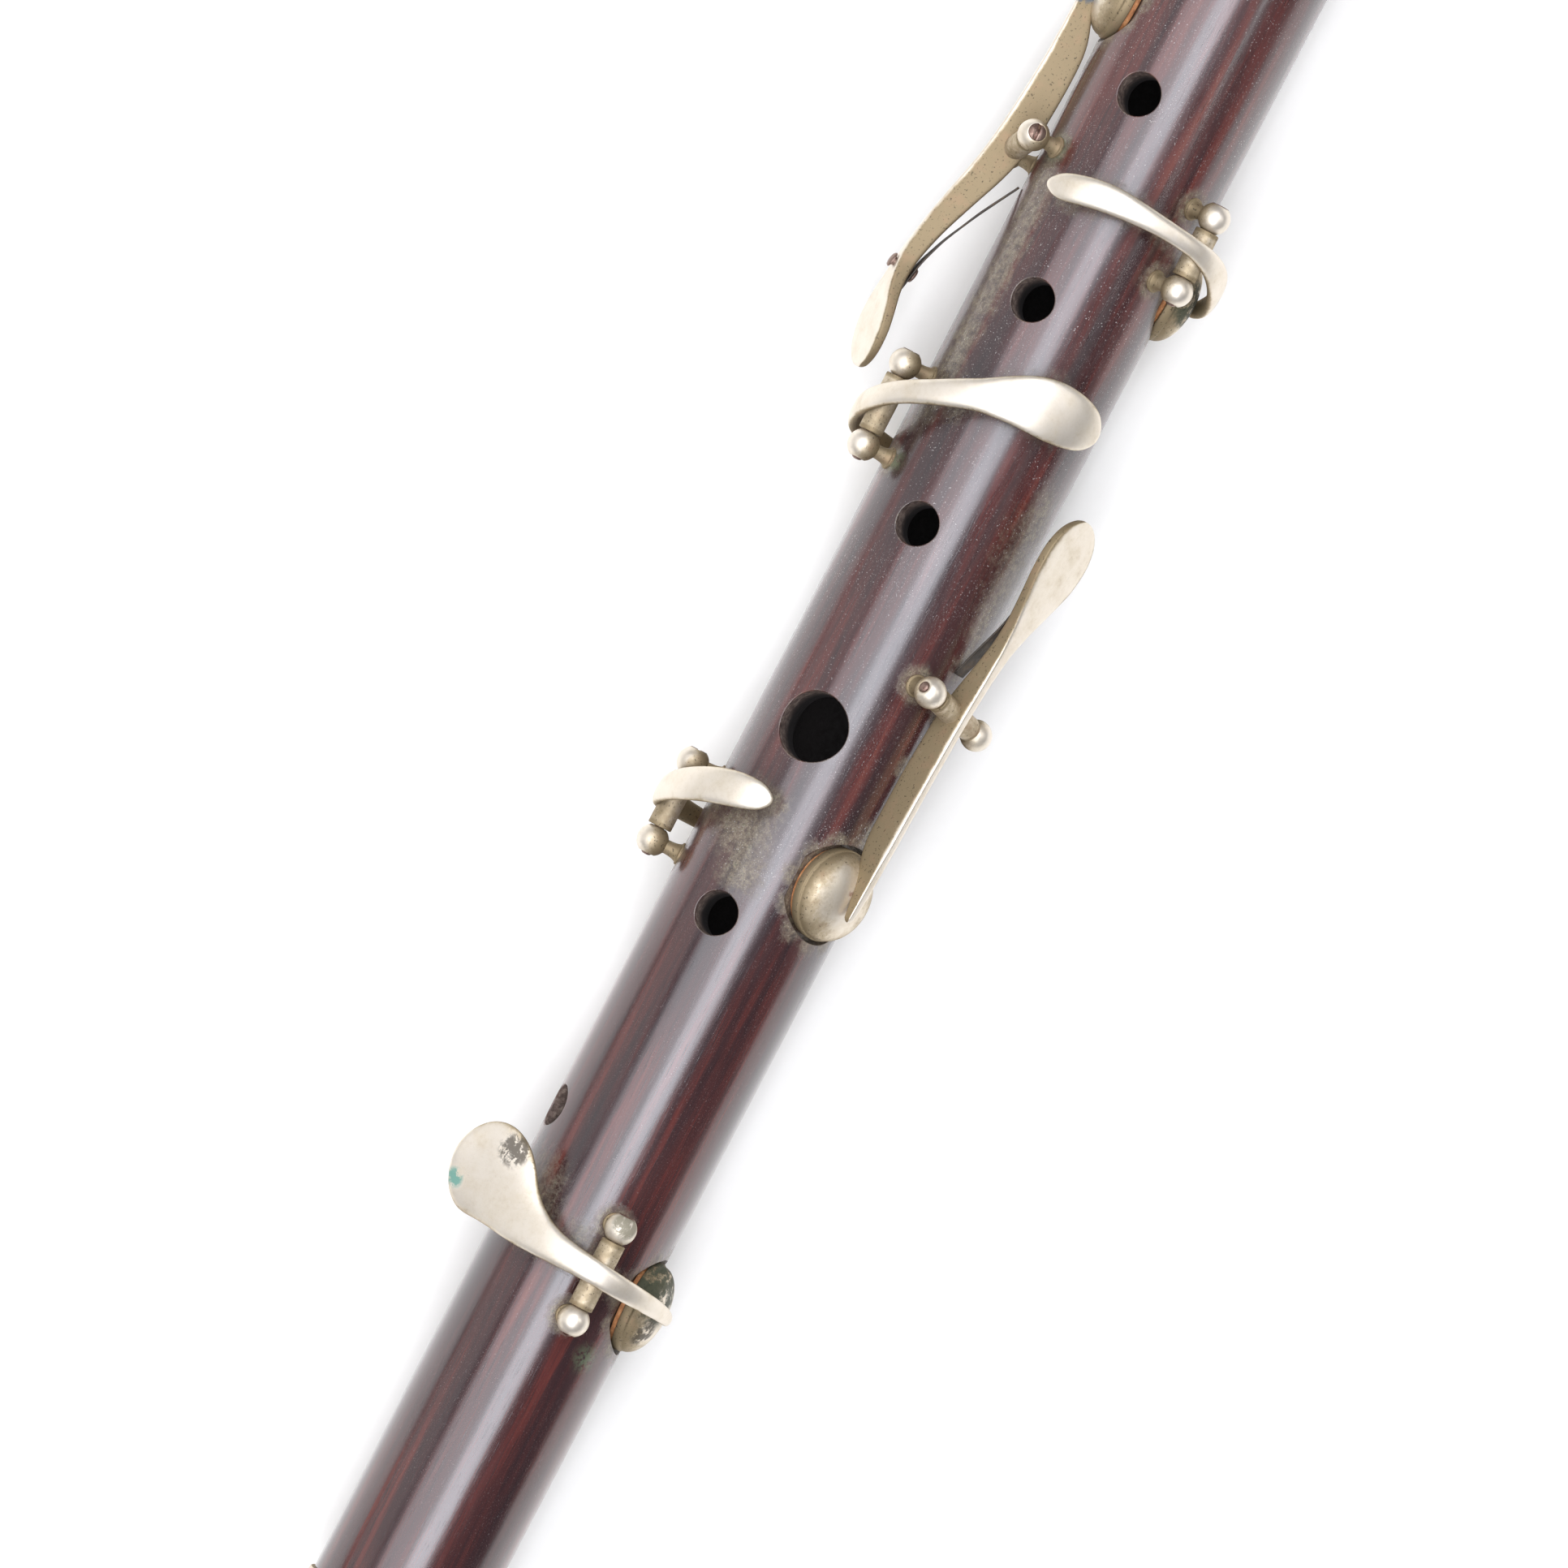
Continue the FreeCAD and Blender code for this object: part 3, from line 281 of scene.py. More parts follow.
class Build:
    """Vertices, faces and per-vertex wear of one piece, gathered from several surfaces."""

    def __init__(self):
        self.points, self.faces, self.slots, self.wear, self.normals = [], [], [], [], {}

    def add(self, points, faces, wear, slot=0, normals=()):
        """Add a surface; its normals, if it has any, are one for each of its points."""
        start = len(self.points)
        self.points.extend(points.tolist())
        self.wear.extend(np.broadcast_to(np.asarray(wear, float), (len(points),)).tolist())
        self.faces.extend([tuple(start + i for i in face) for face in faces])
        self.slots.extend([slot] * len(faces))
        self.normals.update(enumerate(map(tuple, normals), start))

    def piece(self, node, body, slot, *materials, bend=None):
        """Make the piece that stands for a CAD node, in metres, and let it ride on its body.

        A bent piece is baked in place and rides on no body; bend names a second body and where it starts and
        ends.
        """
        name = f"{node}_look"
        mesh = bpy.data.meshes.new(name)
        mesh.from_pydata([[c * MM for c in p] for p in self.points], [], self.faces)
        mesh.validate()
        wear = mesh.attributes.new("wear", "FLOAT", "POINT")
        wear.data.foreach_set("value", self.wear)
        for material in materials:
            mesh.materials.append(material)
        mesh.polygons.foreach_set("use_smooth", [True] * len(mesh.polygons))
        if len(mesh.polygons) == len(self.slots):
            mesh.polygons.foreach_set("material_index", self.slots)
        mesh.update()
        if self.normals:
            custom = [self.normals.get(i, tuple(vertex.normal)) for i, vertex in enumerate(mesh.vertices)]
            mesh.normals_split_custom_set_from_vertices(custom)
        piece = bpy.data.objects.new(name, mesh)
        bpy.context.scene.collection.objects.link(piece)
        if not self.normals:
            piece.modifiers.new("weighted", "WEIGHTED_NORMAL").keep_sharp = True
        if bend:
            other, start, end = bend
            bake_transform(piece)
            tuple(start)
            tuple(end)
        else:
            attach(piece, body)
        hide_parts(node)
        return piece


def rounded(corners, radii, steps=5):
    """Replace the inner corners of an outline by arcs cut at a distance from each corner."""
    out = [corners[0]]
    for before, corner, after, radius in zip(corners, corners[1:], corners[2:], radii):
        if radius <= 0:
            out.append(corner)
            continue
        before, corner, after = (np.asarray(p, float) for p in (before, corner, after))
        back, ahead = before - corner, after - corner
        back_length, ahead_length = np.linalg.norm(back), np.linalg.norm(ahead)
        reach = min(radius, back_length * 0.48, ahead_length * 0.48)
        start, end = corner + back / back_length * reach, corner + ahead / ahead_length * reach
        for step in range(steps + 1):
            t = step / steps
            out.append(tuple((1 - t) ** 2 * start + 2 * t * (1 - t) * corner + t * t * end))
    out.append(corners[-1])
    return out


def lathe(build, outline, place, segments, wear, flip=False):
    """Turn an outline of (radius, height) points about the z axis of a basis."""
    origin, matrix = place
    turns = [2 * math.pi * step / segments for step in range(segments)]
    points, faces, rings, worn = [], [], [], []
    for radius, height in outline:
        start = len(points)
        if radius < 1e-6:
            points.append((0, 0, height))
        else:
            points += [(radius * math.cos(turn), radius * math.sin(turn), height) for turn in turns]
        rings.append(range(start, len(points)))
        worn += [wear(radius, height) if callable(wear) else wear] * (len(points) - start)
    for lower, upper in zip(rings, rings[1:]):
        for step in range(segments):
            after = (step + 1) % segments
            corners = ((lower, step), (lower, after), (upper, after), (upper, step))
            face = tuple(dict.fromkeys(ring[at % len(ring)] for ring, at in corners))
            faces.append(face[::-1] if flip else face)
    build.add(np.array(points) @ matrix.T + origin, faces, worn)


def turned(build, corners, radii, wear, segments=144, steps=5):
    """Turn an outline of (radius, x) corners, rounded off, about the bore."""
    lathe(build, rounded(corners, radii, steps), ALONG_BORE, segments, wear, flip=True)


def quads(rings, around):
    """Faces that join each of some rings of points to the next one."""
    faces = []
    for low in range(0, (rings - 1) * around, around):
        for step in range(around):
            after = (step + 1) % around
            faces.append((low + step, low + after, low + around + after, low + around + step))
    return faces


def smoothed(values, reach):
    """Values averaged with their neighbours, with the two ends kept."""
    kernel = np.hanning(2 * reach + 3)[1:-1]
    kernel /= kernel.sum()
    before = 2 * values[0] - values[reach:0:-1]
    after = 2 * values[-1] - values[-2:-reach - 2:-1]
    return np.convolve(np.concatenate([before, values, after]), kernel, "valid")


def nose(section, sign, slope, blunt):
    """Sections that close one end of a bar; sign is -1 at its start and 1 at its end."""
    point, along, tilt, width, height = section
    length = blunt or float(np.clip(width ** 2 / max(slope, 1.0), 0.25, 0.55 * width))
    out = []
    for step in range(1, NOSE_STEPS + 1):
        share = math.cos(math.pi / 2 * step / NOSE_END)
        out.append((point + along * sign * length * (1 - share ** 2), along, tilt, width * share,
                    height * share ** 0.75))
    return out


def sweep(build, stations, power, density, around, wear, soften=1.3, blunt=0.0):
    """Run a bar through stations, with round ends; power sets how square its section is.

    Density is in sections a millimetre, soften is how far the smoothing reaches, and wear is that of the
    top and of the sides. Blunt, as on springs, is the length of ends that are nearly cut off.
    """
    table = np.array([list(s) + [0] * (6 - len(s)) for s in stations], float)
    angle, radius, x, width, height, roll = table.T
    route = np.array([about_bore(*place) for place in zip(x, angle, radius)])
    knots = np.concatenate([[0], np.cumsum(np.linalg.norm(np.diff(route, axis=0), axis=1))])
    count = max(24, int(knots[-1] * density))
    at = np.linspace(0, knots[-1], count)
    reach = max(1, int(soften * count / knots[-1]))

    def eased(values, neighbours=reach):
        return smoothed(np.interp(at, knots, values), neighbours)

    centre = np.column_stack([eased(column) for column in route.T])
    slope = np.gradient(centre, axis=0)
    ahead = np.column_stack([smoothed(column, min(2 * reach, count - 2)) for column in slope.T])
    widths = np.sqrt(np.maximum(eased(width ** 2, max(1, reach // 2)), (0.9 * width.min()) ** 2))
    sections = list(zip(centre, map(unit, ahead), eased(angle + roll), widths, eased(height)))

    spread = 4 * knots[-1] / (count - 1)
    first_slope = (widths[4] ** 2 - widths[0] ** 2) / spread
    last_slope = (widths[-5] ** 2 - widths[-1] ** 2) / spread
    first_nose = nose(sections[0], -1, first_slope, blunt)[::-1]
    sections = first_nose + sections + nose(sections[-1], 1, last_slope, blunt)

    turns = np.linspace(0, 2 * math.pi, around, endpoint=False)
    cos, sin = np.cos(turns), np.sin(turns)
    across = np.sign(cos) * np.abs(cos) ** (2 / power)
    upward = np.sign(sin) * np.abs(sin) ** (2 / power)
    dull, bright = (0.68, 0.92) if power > 4 else (-0.2, 0.6)
    polish = np.clip((upward - dull) / (bright - dull), 0, 1)
    worn = wear[1] + (wear[0] - wear[1]) * polish
    points = []
    for point, along, tilt, width, height in sections:
        up = radial(tilt)
        up = unit(up - along * up.dot(along))
        side = np.cross(up, along)
        points.append(point + np.outer(across * width / 2, side) + np.outer(upward * height / 2, up))
    faces = quads(len(sections), around)
    faces.append(tuple(range(around))[::-1])
    faces.append(tuple(range((len(sections) - 1) * around, len(sections) * around)))
    build.add(np.vstack(points), faces, np.tile(worn, len(sections)))


# ---- surfaces with holes in them
# Points round a hole, the margin left free of grid points round it, and the wear of bare wood.
RIM_STEPS = 72
RIM_MARGIN = 0.22
BORE_WEAR = 0.5


def rim_points(hole, grow):
    """Distances along the bore and across it of a hole's rim, grown outwards by a little."""
    turns = np.linspace(0, 2 * math.pi, RIM_STEPS, endpoint=False)
    along = (hole["a"] + grow) * np.cos(turns)
    across = (hole["b"] + grow) * np.sin(turns)
    if hole.get("clip"):
        limit = hole["clip"] + grow
        over = np.abs(across) > limit
        along[over] = limit * np.cos(turns[over]) / np.abs(np.sin(turns[over]))
        across[over] = limit * np.sign(np.sin(turns[over]))
    return hole["x"] + along, across


def covers(hole, x, angle, radius, grow):
    """True where points of a round surface lie inside a hole grown by a margin."""
    turn = np.radians(angle - hole["angle"])
    across = radius * np.sin(turn)
    inside = ((x - hole["x"]) / (hole["a"] + grow)) ** 2 + (across / (hole["b"] + grow)) ** 2 < 1
    if hole.get("clip"):
        inside &= np.abs(across) < hole["clip"] + grow
    return inside & (np.cos(turn) > 0)


def perforated(build, radius_at, span, holes, steps, paint=None):
    """Cover a round surface with triangles that leave its holes open.

    A surface with a painter of wear looks outwards, and its holes have worn edges. A surface without one
    is a bare bore.
    """
    outward = paint is not None
    holes = [{**hole, "rim": hole["rim"] if outward else 0.0} for hole in holes]
    scale = float(radius_at(np.array([sum(span) / 2]))[0]) * math.pi / 180
    xs = np.linspace(span[0], span[1], int((span[1] - span[0]) / steps[0]) + 1)
    angles = np.linspace(SEAM - 360, SEAM, int(360 / steps[1]) + 1)
    grid_x, grid_angle = (g.ravel() for g in np.meshgrid(xs, angles))
    radius = radius_at(grid_x)
    keep = np.ones(len(grid_x), bool)
    for hole in holes:
        keep &= ~covers(hole, grid_x, grid_angle, radius, RIM_MARGIN + hole["rim"])
    flat = [(x, a * scale) for x, a in zip(grid_x[keep], grid_angle[keep])]
    edges = []
    for hole in holes:
        x, across = rim_points(hole, hole["rim"])
        angle = hole["angle"] + np.degrees(np.arcsin(across / radius_at(x)))
        start = len(flat)
        flat += [(px, pa * scale) for px, pa in zip(x, angle)]
        edges += [(start + i, start + (i + 1) % RIM_STEPS) for i in range(RIM_STEPS)]
    made = delaunay_2d_cdt([Vector(p) for p in flat], edges, [], 0, 1e-6)
    flat = np.array([tuple(p) for p in made[0]])
    x, angle = flat[:, 0], flat[:, 1] / scale
    radius = radius_at(x)
    turn = np.radians(angle)
    points = np.column_stack([x, -radius * np.sin(turn), radius * np.cos(turn)])
    faces = np.array([tuple(face) for face in made[2]])
    middle_x, middle_angle = x[faces].mean(axis=1), angle[faces].mean(axis=1)
    open_face = np.zeros(len(faces), bool)
    for hole in holes:
        open_face |= covers(hole, middle_x, middle_angle, radius_at(middle_x), hole["rim"] - 0.004)
    faces = faces[~open_face]
    near_start = np.nonzero(np.abs(angle - SEAM + 360) < 1e-3)[0]
    first = {round(float(x[i]), 4): i for i in near_start}
    merge = np.arange(len(points))
    for i in np.nonzero(np.abs(angle - SEAM) < 1e-3)[0]:
        merge[i] = first[round(float(x[i]), 4)]
    faces = merge[faces]
    sign = 1.0 if outward else -1.0
    normals = [(0, -sign * math.sin(t), sign * math.cos(t)) for t in turn]
    if outward:
        faces = faces[:, ::-1]
    build.add(points, faces.tolist(), paint(points) if outward else BORE_WEAR, 0 if outward else 1, normals)


def ring_strip(build, rings, wear, slot=0):
    """Join rings of points, each with its normals, from the outside in."""
    points = np.vstack([ring for ring, _ in rings])
    faces = [(face[0], *face[:0:-1]) for face in quads(len(rings), RIM_STEPS)]
    normals = np.vstack([normal for _, normal in rings])
    build.add(points, faces, wear(points) if callable(wear) else wear, slot, normals)


def hole_ring(hole, x, across, height):
    """Points of a ring at some heights over the bore's axis, and directions away from the hole's middle."""
    out, side = radial(hole["angle"]), tangential(hole["angle"])
    ring = np.outer(x, (1, 0, 0)) + np.outer(height, out) + np.outer(across, side)
    return ring, unit_rows(np.outer(x - hole["x"], (1, 0, 0)) + np.outer(across, side))


def rim_rings(hole, radius_at=None, floor=None, flat=None, steps=5):
    """Rings that roll over the worn edge of a hole and down its wall.

    The hole lies in a round surface of some radius, and goes no deeper than its floor, or it lies in a
    flat surface at some height.
    """
    out, side = radial(hole["angle"]), tangential(hole["angle"])
    rings = []
    for step in range(steps + 1):
        roll = math.pi / 2 * step / steps
        x, across = rim_points(hole, hole["rim"] * (1 - math.sin(roll)))
        drop = hole["rim"] * (1 - math.cos(roll))
        if flat is None:
            height = np.sqrt(radius_at(x) ** 2 - across ** 2) - drop
            surface = unit_rows(np.outer(height, out) + np.outer(across, side))
        else:
            height = np.full(len(x), flat - drop)
            surface = out
        if floor is not None:
            height = np.maximum(height, floor)
        ring, away = hole_ring(hole, x, across, height)
        rings.append((ring, unit_rows(math.cos(roll) * surface - math.sin(roll) * away)))
    return rings


def unit_rows(rows):
    """Rows of length one."""
    return rows / np.linalg.norm(rows, axis=1, keepdims=True)


def wall_ring(hole, height_at):
    """One ring of a hole's wall at heights given by the distance across."""
    x, across = rim_points(hole, 0)
    ring, away = hole_ring(hole, x, across, height_at(x, across))
    return ring, -away


def drill_wall(build, hole, rings, bore_at, wear):
    """Finish a hole: rolled edge outside, and wall down to the bore as bare wood with painted shade."""
    ring_strip(build, rings, wear)
    bottom = wall_ring(hole, lambda x, across: np.sqrt(bore_at(x) ** 2 - across ** 2))
    ring_strip(build, [rings[-1], bottom], BORE_WEAR, 1)


# ---- shading
class Shade:
    """Small helper that strings shader nodes together."""

    def __init__(self, name):
        self.material = bpy.data.materials.new(name)
        self.material.use_nodes = True
        self.tree = self.material.node_tree
        self.tree.nodes.clear()
        self.at = self.node("ShaderNodeTexCoord", {}).outputs["Object"]

    def node(self, kind, inputs, **settings):
        """Add a node; an input is a number, a colour or another node's output."""
        node = self.tree.nodes.new(kind)
        for key, value in settings.items():
            setattr(node, key, value)
        for key, value in inputs.items():
            socket = node.inputs[key]
            if isinstance(value, bpy.types.NodeSocket):
                self.tree.links.new(value, socket)
            else:
                socket.default_value = value
        return node

    def stretch(self, scales):
        """Object coordinates multiplied along each axis."""
        return self.node("ShaderNodeVectorMath", {0: self.at, 1: scales}, operation="MULTIPLY").outputs[0]

    def along(self):
        """Distance along the bore."""
        return self.node("ShaderNodeSeparateXYZ", {0: self.at}).outputs["X"]

    def noise(self, scales, detail=4.0, rough=0.55, warp=0.0):
        """Noise between 0 and 1 at so many features a metre along each axis."""
        if not isinstance(scales, tuple):
            scales = (scales, scales, scales)
        inputs = {"Vector": self.stretch(scales), "Scale": 1.0, "Detail": detail, "Roughness": rough,
                  "Distortion": warp}
        return self.node("ShaderNodeTexNoise", inputs).outputs["Fac"]

    def sum(self, a, b):
        """Sum of two values."""
        return self.node("ShaderNodeMath", {0: a, 1: b}, operation="ADD").outputs[0]

    def times(self, a, b):
        """Product of two values."""
        return self.node("ShaderNodeMath", {0: a, 1: b}, operation="MULTIPLY").outputs[0]

    def most(self, a, b):
        """The larger of two values."""
        return self.node("ShaderNodeMath", {0: a, 1: b}, operation="MAXIMUM").outputs[0]

    def span(self, value, low, high, to_low=0.0, to_high=1.0):
        """Map a value smoothly from one range to another."""
        return self.node("ShaderNodeMapRange", {"Value": value, "From Min": low, "From Max": high,
                                                "To Min": to_low, "To Max": to_high},
                         interpolation_type="SMOOTHSTEP").outputs[0]

    def ramp(self, value, stops):
        """Colour ramp of (place, colour) stops."""
        node = self.node("ShaderNodeValToRGB", {"Fac": value})
        elements = node.color_ramp.elements
        while len(elements) < len(stops):
            elements.new(0.5)
        for element, (place, colour) in zip(elements, stops):
            element.position = place
            element.color = (*colour, 1)
        return node.outputs["Color"]

    def mix(self, factor, a, b):
        """Mix two colours."""
        a, b = ((*colour, 1) if isinstance(colour, tuple) else colour for colour in (a, b))
        return self.node("ShaderNodeMix", {0: factor, 6: a, 7: b}, data_type="RGBA").outputs[2]

    def wear(self):
        """The wear painted on the piece's points."""
        return self.node("ShaderNodeAttribute", {}, attribute_name="wear").outputs["Fac"]

    def spot(self, centre, radius):
        """1 at a point, in millimetres, falling to 0 at a radius."""
        gap = self.node("ShaderNodeVectorMath", {0: self.at, 1: tuple(c * MM for c in centre)},
                        operation="DISTANCE").outputs["Value"]
        return self.span(gap, radius * MM, 0.0)

    def bump(self, height, distance, strength=1.0, normal=None):
        """Bump from a height, with its depth in millimetres."""
        inputs = {"Height": height, "Distance": distance * MM, "Strength": strength}
        if normal is not None:
            inputs["Normal"] = normal
        return self.node("ShaderNodeBump", inputs).outputs["Normal"]

    def finish(self, **inputs):
        """Close the material with a principled shader."""
        inputs = {key.replace("_", " "): value for key, value in inputs.items()}
        shader = self.node("ShaderNodeBsdfPrincipled", inputs)
        self.node("ShaderNodeOutputMaterial", {"Surface": shader.outputs[0]})
        return self.material


# Verdigris on the wood: middle, in millimetres, and radius.
GREEN_SPOTS = [((144.2, 7.1, 4.6), 2.2), ((113.0, 7.2, 4.2), 1.8), ((29.5, -5.2, 5.6), 2.0)]


def rosewood():
    """Dark varnished rosewood: long crimson streaks, pores, dust, and grime where keys keep fingers off."""
    s = Shade("rosewood")
    broad = s.noise((22, 420, 420), 2, 0.5)
    streak = s.noise((50, 1300, 1300), 3, 0.5, 0.1)
    fine = s.noise((240, 5600, 5600), 3, 0.6)
    tone = s.sum(s.sum(s.times(broad, 0.50), s.times(streak, 0.36)), s.times(fine, 0.16))
    colour = s.ramp(tone, [(0.38, (0.023, 0.0105, 0.0125)), (0.47, (0.038, 0.0130, 0.0140)),
                           (0.54, (0.060, 0.0165, 0.0155)), (0.60, (0.094, 0.0205, 0.0175)),
                           (0.68, (0.140, 0.0330, 0.0230))])
    pores = s.noise((330, 7400, 7400), 2, 0.5)
    pore = s.span(pores, 0.60, 0.70)
    colour = s.mix(s.times(pore, 0.55), colour, (0.014, 0.007, 0.008))
    grime_noise = s.noise(2600, 5, 0.7)
    patch = s.noise(420, 4, 0.6)
    worn = s.wear()
    fluff = s.span(s.noise(6200, 4, 0.75), 0.36, 0.58, 0.30, 1.0)
    dirt = s.sum(worn, s.sum(s.times(grime_noise, 0.5), s.times(patch, 0.5)))
    grime = s.times(s.span(dirt, 0.60, 1.02, 0.0, 0.84), fluff)
    earth = s.ramp(s.noise(1700, 4, 0.65), [(0.35, (0.075, 0.055, 0.036)), (0.50, (0.185, 0.145, 0.092)),
                                            (0.60, (0.275, 0.225, 0.150)), (0.70, (0.140, 0.145, 0.080))])
    colour = s.mix(grime, colour, earth)
    dust = s.span(s.noise(9500, 2, 0.5), 0.60, 0.74)
    film = s.span(s.along(), 62 * MM, 84 * MM)
    cloudy = s.span(s.noise(130, 3, 0.55), 0.36, 0.62, 0.10, 0.42)
    dusty = s.times(cloudy, s.span(film, 0.0, 1.0, 0.25, 1.0))
    colour = s.mix(s.times(dust, s.most(dusty, s.times(worn, 0.6))), colour, (0.42, 0.37, 0.335))
    specks = s.span(s.noise(7000, 1, 0.4), 0.67, 0.76)
    specks = s.times(specks, s.span(s.noise(150, 2, 0.5), 0.30, 0.70, 0.15, 0.85))
    specks = s.times(specks, s.span(film, 0.0, 1.0, 0.2, 1.0))
    colour = s.mix(s.times(specks, 0.75), colour, (0.60, 0.56, 0.53))
    for centre, radius in GREEN_SPOTS:
        green = s.times(s.spot(centre, radius), s.span(s.noise(2100, 4, 0.7), 0.36, 0.56))
        colour = s.mix(s.times(green, 0.75), colour, (0.110, 0.150, 0.085))
    smear = s.noise((70, 520, 520), 4, 0.6)
    rough = s.sum(s.span(smear, 0.3, 0.7, 0.18, 0.27), s.sum(s.times(grime, 0.45), s.times(film, 0.07)))
    normal = s.bump(pore, 0.006, 0.5)
    normal = s.bump(s.sum(s.times(grime_noise, grime), s.times(specks, 0.3)), 0.05, 0.8, normal)
    return s.finish(Base_Color=colour, Roughness=rough, IOR=1.53, Specular_IOR_Level=0.7, Normal=normal,
                    Coat_Weight=0.55, Coat_Roughness=0.17, Coat_IOR=1.6)


def bare_wood_hole_shade():
    """Raw, dusty wood inside the holes, with painted shade that darkens it to near black towards the bore.
    """
    s = Shade("bare_wood_hole_shade")
    cloud = s.noise(1800, 5, 0.7)
    flat = s.stretch((0.0, 1.0, 1.0))
    depth = s.node("ShaderNodeVectorMath", {0: flat}, operation="LENGTH").outputs["Value"]
    wall = s.ramp(cloud, [(0.35, (0.050, 0.032, 0.026)), (0.52, (0.150, 0.105, 0.085)),
                          (0.70, (0.330, 0.260, 0.215))])
    # Painted shade: the hole's wall fades to near black towards the bore, and the bore itself is near black.
    colour = s.mix(s.span(depth, 5.4 * MM, 7.4 * MM), (0.010, 0.007, 0.006), wall)
    return s.finish(Base_Color=colour, Roughness=s.span(cloud, 0.3, 0.7, 0.75, 0.95),
                    Normal=s.bump(s.noise((1200, 4200, 4200), 4, 0.6), 0.04, 0.8))


def nickel_silver(name, spots=()):
    """Old nickel silver: ivory where fingers polish it, khaki and flecked where they don't."""
    s = Shade(name)
    cloud = s.noise(420, 5, 0.6, 0.2)
    grain = s.noise(2600, 4, 0.6)
    mottle = s.sum(s.times(cloud, 0.7), s.times(grain, 0.25))
    tarnish = s.span(s.sum(s.times(s.wear(), 0.85), mottle), 0.42, 1.12)
    colour = s.ramp(tarnish, [(0.0, (0.820, 0.745, 0.640)), (0.35, (0.730, 0.645, 0.515)),
                              (0.65, (0.500, 0.410, 0.280)), (1.0, (0.280, 0.215, 0.125))])
    flecks = s.span(s.noise(4600, 2, 0.5), 0.62, 0.70)
    colour = s.mix(s.times(flecks, s.span(tarnish, 0.25, 0.8, 0.05, 0.75)), colour, (0.060, 0.044, 0.030))
    warm = s.times(s.span(s.noise(650, 3, 0.6), 0.50, 0.75), 0.30)
    colour = s.mix(s.times(warm, tarnish), colour, (0.400, 0.240, 0.150))
    stain = None
    for centre, radius, tint, scale in spots:
        spread = s.times(s.spot(centre, radius), s.span(s.noise(scale, 6, 0.75, 0.3), 0.35, 0.57))
        colour = s.mix(s.span(spread, 0.10, 0.50, 0.0, 0.85), colour, tint)
        stain = spread if stain is None else s.most(stain, spread)
    rough = s.span(tarnish, 0.0, 0.9, 0.42, 0.60)
    metal = s.span(tarnish, 0.3, 1.0, 0.80, 0.62)
    if stain is not None:
        rough = s.sum(rough, s.times(stain, 0.4))
        metal = s.times(metal, s.span(stain, 0.10, 0.5, 1.0, 0.15))
    hairs = s.noise((900, 5200, 5200), 2, 0.5)
    scuffs = s.noise(3800, 3, 0.6)
    normal = s.bump(s.sum(scuffs, s.times(hairs, 0.6)), 0.008, 0.5)
    normal = s.bump(s.sum(s.times(cloud, tarnish), s.times(flecks, -0.3)), 0.02, 0.6, normal)
    return s.finish(Base_Color=colour, Metallic=metal, Roughness=rough, Normal=normal)


def plain(name, stops, scale, rough, metal, bump):
    """Material with one mottled colour ramp, for corks, leather, screws and springs."""
    s = Shade(name)
    cloud = s.noise(scale, 5, 0.65, 0.3)
    fine = s.noise(6500, 3, 0.6)
    tone = s.sum(s.times(cloud, 0.75), s.times(fine, 0.25))
    normal = s.bump(tone, bump, 0.8)
    return s.finish(Base_Color=s.ramp(tone, stops), Roughness=s.span(fine, 0.3, 0.7, rough[0], rough[1]),
                    Metallic=metal, Normal=normal)


ROSEWOOD = rosewood()
BARE_WOOD_HOLE_SHADE = bare_wood_hole_shade()
SCREW_STEEL = plain("screw_steel", [(0.30, (0.21, 0.15, 0.12)), (0.48, (0.30, 0.21, 0.17)),
                                    (0.58, (0.17, 0.09, 0.07)), (0.75, (0.08, 0.04, 0.03))],
                    900, (0.32, 0.62), 0.9, 0.03)
SPRING_STEEL = plain("spring_steel", [(0.30, (0.035, 0.030, 0.028)), (0.52, (0.070, 0.056, 0.044)),
                                      (0.68, (0.120, 0.080, 0.048)), (0.80, (0.17, 0.09, 0.05))],
                     700, (0.45, 0.70), 0.5, 0.02)
LEATHER = plain("pad_leather", [(0.30, (0.19, 0.075, 0.026)), (0.50, (0.40, 0.165, 0.060)),
                                (0.70, (0.60, 0.33, 0.15))], 1300, (0.70, 0.92), 0.0, 0.05)
CORK = plain("cork", [(0.30, (0.16, 0.085, 0.040)), (0.48, (0.44, 0.265, 0.135)),
                      (0.70, (0.58, 0.39, 0.22))], 1100, (0.80, 0.95), 0.0, 0.10)


# ---- wooden body
BODY_END = 198.0
SOCKET_START = 181.0
SOCKET_RADIUS = 6.65
PEG_DEPTH = 12.0
FOOT_BORE_RADIUS = 4.0
TOP_BORE_RADIUS = 5.1
FOOT_RING_END = 1.7
FOOT_SEAT_RADIUS = 7.1
SOCKET_RING_START = 192.0
SOCKET_SEAT_RADIUS = 7.85
EDGE_ROLL = 0.13
SEAT_ROLL = 0.08
END_EDGE = 0.12
SEAM = 155.0


def bore_radius(x):
    """Radius of the conical bore."""
    share = np.clip((np.asarray(x, float) - PEG_DEPTH) / (SOCKET_START - PEG_DEPTH), 0, 1)
    return FOOT_BORE_RADIUS + (TOP_BORE_RADIUS - FOOT_BORE_RADIUS) * share


# Fluff on the wood: distance from the foot, angle, spread and thickness.
DUSTY_PLACES = [(78.0, -32, 4.5, 0.75), (74.5, -18, 3.5, 0.60), (38.0, 0, 3.5, 0.55)]
DUSTY_PLACES += [(x, -56, 3.2, 0.60) for x in range(120, 143, 3)]


